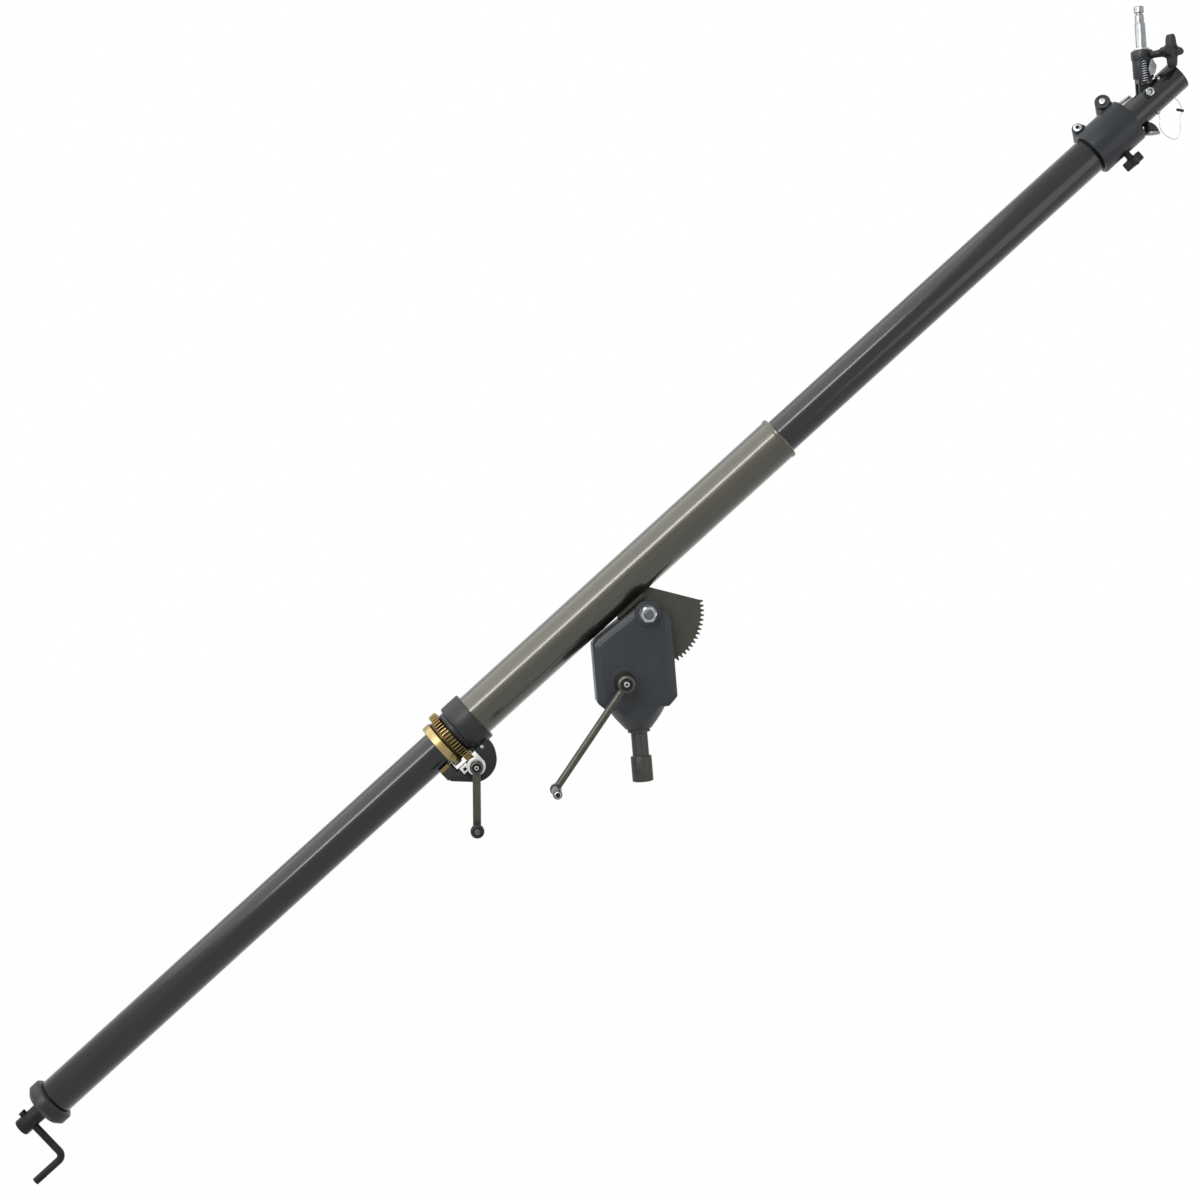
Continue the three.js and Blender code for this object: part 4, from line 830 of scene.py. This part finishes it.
def add_tilt_crank():
    """The washer, hub and arm on the tilt shaft, and the grip that turns on its bolt."""
    low = ring(15, 7 + PLAY, -35.3, -32.3, "y", sides=72, edge=0.6)
    seat(low, "tilt_shaft_washer", TILT_SHAFT, "tilt_crank", "oxide", "tilt_shaft_ring")
    line = [(-62.6, 8.6), (-62.1, 10.2), (-61, 11.5), (-59.2, 12), (-38, 12), (-37.6, 11.6), (-37.2, 11.6)]
    hub = turned([*line, (-36.8, 12), (-36.2, 12), (-35.6, 11.5)], "y", sides=72)
    angle = math.radians(-128.9)
    reach = 165
    arm_depth = -55.1
    across, down = math.cos(angle), math.sin(angle)
    at = (reach * across, 0, reach * down)
    arm = bar_between((7 * across, arm_depth, 7 * down), (at[0], arm_depth, at[2]), 5, 40, 0)
    eye = turned([(-60.1, 6.9), (-59.5, 7.5), (-50.7, 7.5), (-50.1, 6.9)], "y", at, 48)
    hub = welded(hub, arm, eye)
    shaft_hole = rod(7 + PLAY, -59.6, 0, "y")
    recess = rod(7.8, -64, -61.2, "y")
    pin_hole = rod(3 + PLAY, -80, -40, "y", at, 32)
    machined(hub, shaft_hole, recess, pin_hole)
    seat(hub, "tilt_crank_arm", TILT_SHAFT, "tilt_crank", "crank", "tilt_arm")
    hub_cap("tilt", TILT_SHAFT, "tilt_crank", -61.2, 7.7, 4.0)
    line = [(-113.8, 3.4), (-113.3, 4.3), (-112.6, 4.6), (-110.8, 4.6), (-110.8, 3.0), (-49.75, 3.0)]
    pin = turned([*line, (-49.75, 4.6), (-48.95, 4.4), (-48.75, 4.1)], "y", at, 40)
    machined(pin, turned([(-115, 3.5), (-112.2, 3.2)], "y", at, 40))
    seat(pin, "tilt_grip_bolt", TILT_SHAFT, "tilt_crank", "zinc", "tilt_grip_pin")
    # Painted shade: a dark disc in the recess of the grip bolt's head.
    shade_disc = turned([(-112.15, 3.1), (-112.9, 3.0), (-113.1, 2.6)], "y", at, 40)
    machined(shade_disc, rod(1.5, -115, -112.6, "y", at, 6))
    seat(shade_disc, "tilt_grip_bolt_shade_disc", TILT_SHAFT, "tilt_crank", "oxide")
    line = [(-110.45, 3.35), (-110.45, 4.9), (-109.7, 6.0), (-108.6, 6.2), (-70, 6.2), (-62.4, 6.0)]
    line += [(-61.2, 5.6), (-60.45, 4.9), (-60.45, 3.35), (-110.45, 3.35)]
    grip = turned(line, "y", at, 48)
    seat(grip, "tilt_grip_sleeve", TILT_SHAFT, "tilt_grip_body", "crank", "tilt_grip")


# Boom tubes


def add_sleeve():
    line = [(-278, 27), (-278, 29.6), (-277.4, SLEEVE_R), (279.5, SLEEVE_R), (281.2, 30.5), (282.2, 31.2)]
    line += [(283.4, 31.4), (285.2, 31.4), (286.4, 31), (287, 30.1), (287, 27.6), (286.4, 27), (-278, 27)]
    sleeve = turned(line, "x", sides=160)
    seat(sleeve, "sleeve_outer_tube", BOOM, "sleeve", "sleeve", "sleeve_tube")


def add_main_tube():
    tube = ring(MAIN_R, 22.5, -1025, 872, "x", sides=160, edge=0.5)
    seat(tube, "boom_main_tube", BOOM, "boom_tube", "main", "main_tube")


def add_rear_collar():
    line = [(-1026, 25.3), (-1026, 25.9), (-1025.7, 26.2), (-1020.4, 31.5), (-1019.8, 32), (-1008.2, 32)]
    line += [(-1007.6, 31.7), (-1005.3, 29.3), (-1005, 28.8), (-1005, 25.3), (-1026, 25.3)]
    cap = turned(line, "x", sides=128)
    seat(cap, "boom_rear_collar", BOOM, "boom_tube", "collar", "rear_collar")


# Roll wheel, collar and worm


def toothed_outline(count, root, tip, turn):
    """Points round a toothed wheel, with flanks that narrow toward the tips."""
    middle = 0.5 * (root + tip)
    tooth_line = [(-0.42, root), (-0.29, root), (-0.2, middle), (-0.1, tip), (0.1, tip), (0.2, middle)]
    points = []
    for tooth in range(count):
        for share, radius in (*tooth_line, (0.29, root)):
            angle = turn + 2 * math.pi * (tooth + share) / count
            points.append((radius * math.cos(angle), radius * math.sin(angle)))
    return points


def add_roll_wheel():
    """The brass wheel: helical teeth, then a groove with painted shade from the brass finish, and a plain
    flange.
    """
    count, face, pitch_r, steps = 50, 10, 37.5, 4
    worm_slope = 1.5 / 22
    twist = worm_slope * (face / 2) / pitch_r
    phase = math.radians(-90) + math.pi / count - math.pi / 2
    wheel = filled_outline(toothed_outline(count, 35.65, 39.0, phase - twist), -305.5)
    for _ in range(steps):
        extrude(face / steps)
        shape = bmesh.from_edit_mesh(wheel.data)
        turn = Matrix.Rotation(2 * twist / steps, 4, "Z")
        for vertex in shape.verts:
            if vertex.select:
                vertex.co = turn @ vertex.co
        bmesh.update_edit_mesh(wheel.data)
    close_shape()
    lay(wheel, ALONG["x"])
    line = [(-322, 32), (-321.6, 32.6), (-321, 33), (-312.2, 33), (-311.4, 32.7), (-311, 32.2)]
    flange = turned([*line, (-309.2, 30.5), (-304, 30.5)], "x", sides=128)
    wheel = welded(wheel, flange)
    machined(wheel, rod(MAIN_R + PLAY, -324, -290, "x", sides=128))
    seat(wheel, "roll_wheel_cut", BOOM, "boom_tube", "brass", "roll_wheel", angle=22)
    screw = turned([(-1.2, 3.4), (0.9, 3.4), (1.5, 2.9), (1.9, 1.9)], "z", sides=32)
    machined(screw, block(-4, 4, -0.5, 0.5, 1.2, 3, 0))
    lay(screw, shift(-316.2, 0, 0) @ Matrix.Rotation(math.radians(140), 4, "X") @ shift(0, 0, 31.3))
    seat(screw, "roll_wheel_screw", BOOM, "boom_tube", "zinc")


def add_roll_collar():
    line = [(-294.6, 25.35), (-294.6, 29.6), (-294.2, 30.6), (-293.4, 31), (-288, 31), (-287.2, 31.6)]
    line += [(-287, 32.2), (-287, 34.6), (-286.7, 35.5), (-285.8, 36), (-259.7, 36), (-258.8, 35.6)]
    line += [(-258.5, 34.8), (-258.5, 30.3), (-278.3, 30.3), (-278.3, 25.35), (-294.6, 25.35)]
    collar = turned(line, "x", sides=128)
    seat(collar, "roll_collar_turned", BOOM, "sleeve", "collar", "roll_collar")


def plate_outline():
    """The half-round side plate's outline about the worm's axis."""
    round_x, round_z, radius = 2.5, 8.5, 31
    points = [(-38.5, 6.5)]
    for step in range(33):
        angle = math.radians(-122 + 134 * step / 32)
        points.append((round_x + radius * math.cos(angle), round_z + radius * math.sin(angle)))
    points += [(34.5, 23.5), (7.5, 23.5), (7.5, 9.6), (-24.5, 9.6), (-24.5, 21.5), (-41.5, 21.5)]
    return points


def add_side_plates():
    for name, near, far in (("near", -17, -13), ("far", 13, 17)):
        plate = lay(cut_plate(plate_outline(), near, far, 0.5), shift(*WORM_AT))
        collar_room = rod(36.3, -287.3, -258.2, "x", sides=96)
        ring_room = rod(31.3, -294.9, -258.5, "x", sides=96)
        shaft_room = rod(5.35, -30, 30, "y", WORM_AT)
        machined(plate, collar_room, ring_room, shaft_room)
        seat(plate, f"roll_side_plate_{name}", BOOM, "sleeve", "plate", f"roll_plate_{name}")
    screw = socket_screw(2.7, 1.6, 1.3, (-278.5, 0, -35.5), -17)
    seat(screw, "side_plate_screw", BOOM, "sleeve", "zinc")


def add_bearing_block():
    """The white worm bearing with its two lugs."""
    body = turned([(-17.3, 12.4), (-29, 12.4), (-29.6, 12.1), (-29.8, 11.6)], "y", sides=72)
    front = block(6.2, 12.2, -29.8, -17.3, 0, 16.5, 0.5)
    back = block(-18.5, -7, -29.8, -17.3, 3, 12.6, 0.5)
    machined(back, block(-15.5, -11, -31, -16, 5.6, 9.4, 0))
    tie = block(-8, 0, -29.8, -17.3, 0, 6.3, 0)
    body = welded(body, back, front, tie)
    machined(body, rod(5.35, -40, 0, "y"))
    machined(body, rod(8.4, -27.6, -31, "y"))
    seat(body, "worm_bearing", WORM, "sleeve", "aluminium", "worm_bearing_block")


def add_roll_crank():
    """The flat arm on the worm shaft, its hub screw and its round knob."""
    angle = math.radians(-94.5) - RISE
    reach = 80.5
    end = (reach * math.cos(angle), 0, reach * math.sin(angle))
    line = [(-30.1, 8.2), (-30.6, 8.8), (-47.4, 8.8), (-48.6, 8.6), (-49.6, 7.8), (-50.1, 6.6)]
    hub = turned(line, "y", sides=64)
    flat = cut_plate([(0, -5.25), (reach, -5.25), (reach, 5.25), (0, 5.25)], -45.1, -40.1, 0.7, 3)
    lay(flat, Matrix.Rotation(-angle, 4, "Y"))
    eye = turned([(-45.1, 4.7), (-44.5, 5.25), (-40.7, 5.25), (-40.1, 4.7)], "y", end, 48)
    hub = welded(hub, flat, eye)
    pin_hole = rod(2.8, -60, 0, "y", end, 32)
    machined(hub, rod(5 + PLAY, -46.3, 0, "y"), rod(5.8, -60, -48.4, "y"), pin_hole)
    seat(hub, "roll_crank_arm", WORM, "roll_worm_body", "crank", "roll_arm")
    hub_cap("roll", WORM, "roll_worm_body", -48.4, 5.7, 3.2)
    length = 25
    face = -45.45 - length
    line = [(face, 2.85), (face, 6.4), (face + 0.5, 7.4), (face + 1.6, 8.4), (face + 3.2, 9), (face + 9, 9)]
    line += [(face + 14, 8.3), (face + 20, 6.9), (face + 23.5, 5.8), (face + length, 5)]
    knob = turned([*line, (face + length, 2.85), (face, 2.85)], "y", end, 64)
    machined(knob, turned([(face - 1, 5.5), (face + 0.9, 5.2)], "y", end, 48))
    seat(knob, "roll_crank_knob", WORM, "roll_knob_body", "plastic", "roll_knob")
    line = [(face - 2.35, 3.3), (face - 1.9, 3.9), (face - 0.35, 4), (face - 0.35, 2.5), (-39.75, 2.5)]
    line += [(-39.75, 4), (-38.95, 3.8), (-38.75, 3.4)]
    pin = turned(line, "y", end, 40)
    machined(pin, rod(1.6, face - 3, face - 1, "y", end, 6))
    seat(pin, "roll_knob_bolt", WORM, "roll_worm_body", "washer", "roll_knob_pin")


# Clamp


def add_clamp():
    """The slit casting with its two lugs, their screws, and the lever that tightens the front one."""
    rear, front = REAR_LUG_AT, FRONT_LUG_AT
    line = [(844, 30.4), (844.4, 31.4), (845.4, 32), (910.2, 32), (911.5, 31.5), (912, 30.4)]
    body = turned(line, "x", sides=128)
    lug = turned([(-17, 7.2), (-16.2, 8), (16.2, 8), (17, 7.2)], "y", rear, 64)
    lug_foot = block(846, 863, -15.5, 15.5, 22, 33, 1.2)
    line = [(-17, 9.4), (-16.6, 10.1), (-15.8, 10.5), (15.8, 10.5), (16.6, 10.1), (17, 9.4)]
    boss = turned(line, "y", front, 72)
    side = [(889, 26), (911.4, 26), (911.4, 33), (909, 40), (895, 40), (891.8, 33)]
    foot = cut_plate(side, -12.5, 12.5, 1.4, 3)
    rib = cut_plate([(884, 28), (908, 28), (906, 36), (894, 36)], -6, 6, 1.2, 3)
    body = welded(body, lug_foot, lug, foot, rib, boss)
    main_room = rod(MAIN_R + PLAY, 840, 872.3, "x", sides=128)
    tip_room = rod(20.35, 860, 914, "x", sides=128)
    slit = block(874, 922, -0.8, 0.8, 0, 60, 0)
    front_room = rod(3.7, -40, 40, "y", front, 32)
    rear_room = rod(3.7, -40, 40, "y", rear, 32)
    knob_room = lay(rod(4.8, -40, 0, "z", LOCK_KNOB_AT, 32), Matrix.Rotation(CLAMP_ROLL, 4, "X"))
    machined(body, main_room, tip_room, slit, front_room, rear_room, knob_room)
    mouth = turned([(843, 27.4), (843.9, 26.7), (845, 25.3)], "x")
    machined(body, mouth, rod(7.6, -18, -16.3, "y", front))
    seat(body, "clamp_body", CLAMP, "boom_tube", "clamp", "clamp_casting", angle=28)
    shank = 3.4
    screw = welded(socket_screw(5.9, 3.2, 2.9, rear, -17.3), rod(shank, -18, 17, "y", rear, 32))
    seat(screw, "clamp_rear_bolt", CLAMP, "boom_tube", "zinc", "clamp_rear_screw")
    # Painted shade on the floor of the rear screw's socket.
    socket_shade_plug("clamp_rear", CLAMP, "boom_tube", 2.9, rear, -18.3)
    screw = welded(socket_screw(4.4, 2.4, 2.2, front, -16.2), rod(shank, -18, 24.3, "y", front, 32))
    seat(screw, "clamp_front_bolt", CLAMP, "boom_tube", "zinc", "clamp_front_screw")
    # Painted shade on the floor of the front screw's socket.
    socket_shade_plug("clamp_front", CLAMP, "boom_tube", 2.2, front, -16.9)
    hub = turned([(17.3, 5.6), (17.9, 6.5), (23.6, 6.5), (24.3, 5.8)], "y", front, 48)
    along = Vector((math.cos(math.radians(-8)), 0, math.sin(math.radians(-8))))
    middle = Vector((front[0], 20.8, front[2]))
    lever = welded(hub, bar_between(middle + 5 * along, middle + 42 * along, 2.6, 32, 0.9))
    machined(lever, rod(3.7, 10, 30, "y", front, 32))
    seat(lever, "clamp_lever_turned", CLAMP, "clamp_lever_body", "lever", "clamp_lever")


def lobed_outline(radius, waist, lobes=4, steps=96):
    """A hand knob seen along its axis: lobes with hollow sides between them."""
    points = []
    for step in range(steps):
        angle = 2 * math.pi * step / steps
        reach = waist + (radius - waist) * abs(math.cos(angle * lobes / 2)) ** 3.2
        points.append((reach * math.cos(angle), reach * math.sin(angle)))
    return points


def add_lock_knob():
    star = cut_plate(lobed_outline(14.5, 8.2), 0, 12, 1.6, 4)
    lay(star, shift(LOCK_KNOB_AT[0], 0, -51) @ Matrix.Rotation(math.radians(90), 4, "X"))
    tail = turned([(-40, 6.5), (-38.6, 5), (-37, 4.5), (-20.6, 4.5)], "z", LOCK_KNOB_AT, 48)
    star = welded(star, tail)
    seat(star, "clamp_star_knob", BOOM, "clamp_knob", "plastic", "clamp_lock_knob")


# Head, tip and lower block


def add_tip_tube():
    """The inner tube, with the slot that the head swings in and a boss for its pivot bolt."""
    bore = 17.5
    tube = ring(TIP_R, bore, -950, 1000, "x", sides=128, edge=0.6)
    boss = turned([(-21, 6), (-20.2, 7), (20.2, 7), (21, 6)], "y", HEAD_AT, 56)
    tube = welded(tube, boss)
    slot = block(933, 977, -10.7, 10.7, 0, 40, 0)
    machined(tube, rod(bore, 900, 990, "x", sides=128), slot, rod(3 + PLAY, -40, 40, "y", HEAD_AT, 40))
    seat(tube, "tip_inner_tube", BOOM, "tip", "main", "tip_tube")


def add_head_bolt():
    at = HEAD_AT
    nut = hexagon(6, -26.3, -21.3, at)
    machined(nut, rod(3 + PLAY, -30, 0, "y", at, 40))
    seat(nut, "head_hex_nut", BOOM, "tip", "zinc", "head_pivot_nut")
    bolt = welded(turned([(-23, 2.4), (-22.5, 3), (23, 3)], "y", at, 40), hexagon(6, 21.3, 26, at))
    seat(bolt, "head_hex_bolt", BOOM, "tip", "zinc", "head_pivot_bolt")


def add_stud_holder():
    """The turned socket that holds the stud, on two cheeks round the head's wheel."""
    disc = turned([(-10, 8.7), (-9.2, 9.5), (9.2, 9.5), (10, 8.7)], "y", sides=72)
    cheek = block(-9.5, 9.5, -10, 10, 0, 22, 0.8)
    line = [(19.6, 11.4), (20.2, 12.8), (21.4, 13.5), (43.6, 13.5), (45.2, 14.2), (46.2, 14.6)]
    holder = welded(turned([*line, (54.8, 14.6), (56.2, 14.1), (57, 12.8)]), disc, cheek)
    gear_room = block(-14, 14, -5.6, 5.6, -14, 14, 0)
    stud_room = rod(7 + PLAY, 24, 60, sides=64)
    bolt_room = rod(3.35, -20, 20, "y", sides=40)
    screw_room = lay(rod(2.9, -20, 0, "y", sides=32), STUD_KNOB)
    groove = ring(16, 13.0, 40.4, 41.2, edge=0)
    machined(holder, gear_room, stud_room, bolt_room, screw_room, groove)
    seat(holder, "stud_holder_turned", HEAD, "head", "holder", "stud_holder")


def add_stud():
    line = [(24.4, 6.6), (24.8, 7), (91.6, 7), (92.1, 6.8), (93, 6), (102.8, 6), (103.1, 5.7), (103.9, 4.7)]
    line += [(104.2, 4.6), (105.3, 4.6), (105.6, 4.8), (106.3, 6.3), (106.7, 6.6), (113.6, 6.6)]
    stud = turned([*line, (114.6, 6.1), (115, 5.4)])
    seat(stud, "stud_turned", HEAD, "stud_body", "chrome", "stud")
    line = [(57.3, 7.3), (57.3, 9.9), (57.7, 10.4), (58.3, 10.5), (59.2, 10.5), (59.7, 10.2), (59.9, 9.6)]
    collar = turned([*line, (59.9, 7.3), (57.3, 7.3)])
    seat(collar, "stud_collar_ring", HEAD, "stud_body", "lever", "stud_ring")


def add_stud_knob():
    star = cut_plate(lobed_outline(22, 10.5), -51, -40, 1.8, 4)
    hub = turned([(-39, 9.5), (-36, 7.2), (-30, 5.2), (-17, 4.6), (-15.1, 4.6)], "y", sides=64)
    star = welded(star, hub, rod(2.6, -20, -7.3, "y", sides=32))
    machined(star, turned([(-52, 6.6), (-49.8, 5.8)], "y", sides=48))
    seat(star, "stud_star_knob", HEAD @ STUD_KNOB, "stud_knob_body", "plastic", "stud_knob")


def add_spring_and_latch():
    """The coil spring on its pin and bracket, and the wedge that holds the stud."""
    low, high = 12.9, 41.1
    curls, points, radius = 9, 24, 3.4
    x, y = -3.6, -20.3
    route = []
    for step in range(curls * points + 1):
        angle = 2 * math.pi * step / points
        height = low + (high - low) * step / (curls * points)
        route.append(Vector((x + radius * math.cos(angle), y + radius * math.sin(angle), height)) * MM)
    coil = wire_mesh("latch_coil", route, 0.6, 4)
    seat(coil, "latch_coil_spring", HEAD, "head", "zinc", "latch_spring", angle=60)
    back = block(-8, 0.9, -15.8, -13.85, 10, 44, 0.5)
    low_ear = block(-8, 0.9, -24.6, -14.8, 10, 12, 0.5)
    high_ear = block(-8, 0.9, -24.6, -14.8, 42, 44, 0.5)
    pin = turned([(9.4, 1.4), (9.8, 2), (43.4, 2), (43.9, 1.5)], "z", (x, y, 0), 32)
    bracket = welded(back, low_ear, high_ear, pin)
    seat(bracket, "latch_spring_bracket", HEAD, "head", "holder", "spring_bracket")
    wedge = [(4.2, 21), (11, 24), (13.5, 34), (8, 43.6), (4.4, 38), (1.8, 30)]
    latch = cut_plate(wedge, -18.6, -13.9, 1.1, 4, corner=1.2)
    seat(latch, "stud_latch_wedge", HEAD, "head", "grey_zinc", "stud_latch")


def add_lower_block():
    """The stop under the tip tube, its top hollowed to the tube, and the disc below it."""
    at = (6, 0, 0)
    body = turned([(-50, 9.2), (-49.4, 9.8), (-48.6, 10), (-26, 10)], "z", at, 72)
    tube = rod(TIP_R + PLAY, -1.2e3, 1.2e3, "x", sides=128)
    machined(body, lay(tube, Matrix.Rotation(RISE, 4, "Y") @ shift(0, 0, -HEAD_AT[2])))
    seat(body, "lower_stop_block", HEAD, "tip", "holder", "lower_block")
    line = [(-53.9, 9.8), (-53.6, 10.4), (-53.2, 10.6), (-51, 10.6), (-50.5, 10.3), (-50.3, 9.9)]
    disc = turned(line, "z", at, 72)
    machined(disc, turned([(-54.2, 3), (-53.2, 2.4)], "z", at, 40))
    seat(disc, "lower_stop_disc", HEAD, "tip", "grey_zinc", "lower_disc", slot="zinc")


def add_tip_details():
    """Two small screws on the near side of the tip tube."""
    for name, station, height in (("cheek", 973, 15.1), ("low", 945, -18.0)):
        side = -math.sqrt(TIP_R**2 - height**2)
        angle = math.atan2(height, -side)
        screw = turned([(-1.0, 2.7), (1.5, 2.7), (2.2, 2.3), (2.6, 1.3)], "z", sides=32)
        machined(screw, rod(1.2, 1.6, 4, "z", sides=6))
        tilt = Matrix.Rotation(math.radians(90) - angle, 4, "X")
        lay(screw, shift(station, side, height) @ tilt)
        seat(screw, f"tip_{name}_screw", BOOM, "tip", "zinc")


# Rear crank


def add_rear_crank():
    """The stub at the boom's rear end and the bent rod through it."""
    line = [(-1066, 9.2), (-1065.6, 10.3), (-1064.6, 11.2), (-1063.4, 11.5), (-1042, 11.5), (-1041.4, 11.1)]
    line += [(-1040.4, 11.1), (-1039.8, 11.5), (-1026.8, 11.5), (-1026.3, 11), (-1026.3, 7), (-999.4, 7)]
    stub = turned(line, "x", sides=72)
    machined(stub, rod(5 + PLAY, -20, 20, "z", (-1050, 0, 0), 40))
    seat(stub, "rear_crank_stub", BOOM, "drive_crank", "oxide", "drive_stub")
    route = [Vector((-1050, 0, 16)), Vector((-1050, 0, -55))]
    bend_steps = 12
    for step in range(1, bend_steps + 1):
        angle = math.radians(90 * step / bend_steps)
        route.append(Vector((-1059 + 9 * math.cos(angle), 0, -56 - 9 * math.sin(angle))))
    route.append(Vector((-1100, 0, -65)))
    bent = wire_mesh("rear_rod", [place * MM for place in route], 5, 8)
    rounded(bent, 0.8, 3, 60)
    seat(bent, "rear_crank_rod", BOOM, "drive_crank", "oxide", "drive_crank_rod", angle=35)


# Stage and light


def bare_nodes(owner, shader):
    """The nodes of a material or world without the shader that it comes with."""
    owner.use_nodes = True
    nodes = Nodes(owner.node_tree)
    nodes.tree.nodes.remove(nodes.tree.nodes[shader])
    return nodes


def white_where_seen(nodes, share, lit, white, output):
    """White to the camera, reflections and clear glass, and the lit shader to all other light."""
    shown = nodes.node("ShaderNodeMixShader", {}, {0: nodes.seen_rays() * share, 1: lit, 2: white})
    nodes.tree.links.new(shown.socket, nodes.tree.nodes[output].inputs["Surface"])


def add_stage():
    """A pale floor far enough below the arm, which a stand carries, to clear its tip at every pose."""
    drop = 1.75
    shadow_share = 0.015
    bpy.ops.object.select_all(action="DESELECT")
    bpy.ops.mesh.primitive_plane_add(size=60, location=(0, 0, CAD_BOX[0][2] - drop))
    floor = bpy.context.object
    floor.name = "studio_floor"
    paint = bpy.data.materials.new("studio_floor_white")
    nodes = bare_nodes(paint, "Principled BSDF")
    glow = nodes.node("ShaderNodeEmission", {}, {"Color": (1, 1, 1, 1), "Strength": 1.0})
    matt = nodes.node("ShaderNodeBsdfDiffuse", {}, {"Color": (0.86, 0.86, 0.86, 1)})
    white_where_seen(nodes, 1 - shadow_share, matt, glow, "Material Output")
    floor.data.materials.append(paint)


def add_world():
    room_light = 0.42
    world = bpy.data.worlds.new("studio_world")
    bpy.context.scene.world = world
    nodes = bare_nodes(world, "Background")
    room = nodes.node("ShaderNodeBackground", {}, {"Color": (1, 1, 1, 1), "Strength": room_light})
    white = nodes.node("ShaderNodeBackground", {}, {"Color": (1, 1, 1, 1), "Strength": 1.0})
    white_where_seen(nodes, 1.0, room, white, "World Output")


def add_lamp(name, place, target, width, height, power, along=(1, 0, 0)):
    """A soft box that faces the target, its width along the given direction."""
    lamp = bpy.data.lights.new(name, "AREA")
    lamp.shape = "RECTANGLE"
    lamp.size = width
    lamp.size_y = height
    lamp.energy = power
    stand = bpy.data.objects.new(name, lamp)
    bpy.context.scene.collection.objects.link(stand)
    back = (Vector(place) - Vector(target)).normalized()
    side = Vector(along)
    side = (side - back * side.dot(back)).normalized()
    turn = Matrix((side, back.cross(side), back)).transposed().to_4x4()
    stand.matrix_world = Matrix.Translation(Vector(place)) @ turn
    stand.visible_camera = False


def add_lights():
    middle = (0, 0, 0.25)
    add_lamp("sky_softbox", (-1.45, -0.35, 2.15), middle, 3.4, 4.2, 74, BOOM_LINE)
    add_lamp("edge_strip", (-1.25, -2.62, 1.88), middle, 3.2, 0.5, 58, BOOM_LINE)
    add_lamp("fill_softbox", (2.4, -2.0, 0.3), middle, 1.6, 1.6, 10)


# Making the model

add_camera()
bpy.context.scene.view_settings.view_transform = "Standard"
add_lanyard()
dress_frame()
add_housing()
add_spigot()
add_pivot_fasteners()
add_tilt_crank()
add_sleeve()
add_main_tube()
add_rear_collar()
add_roll_wheel()
add_roll_collar()
add_side_plates()
add_bearing_block()
add_roll_crank()
add_clamp()
add_lock_knob()
add_tip_tube()
add_head_bolt()
add_stud_holder()
add_stud()
add_stud_knob()
add_spring_and_latch()
add_lower_block()
add_tip_details()
add_rear_crank()
add_stage()
add_world()
add_lights()
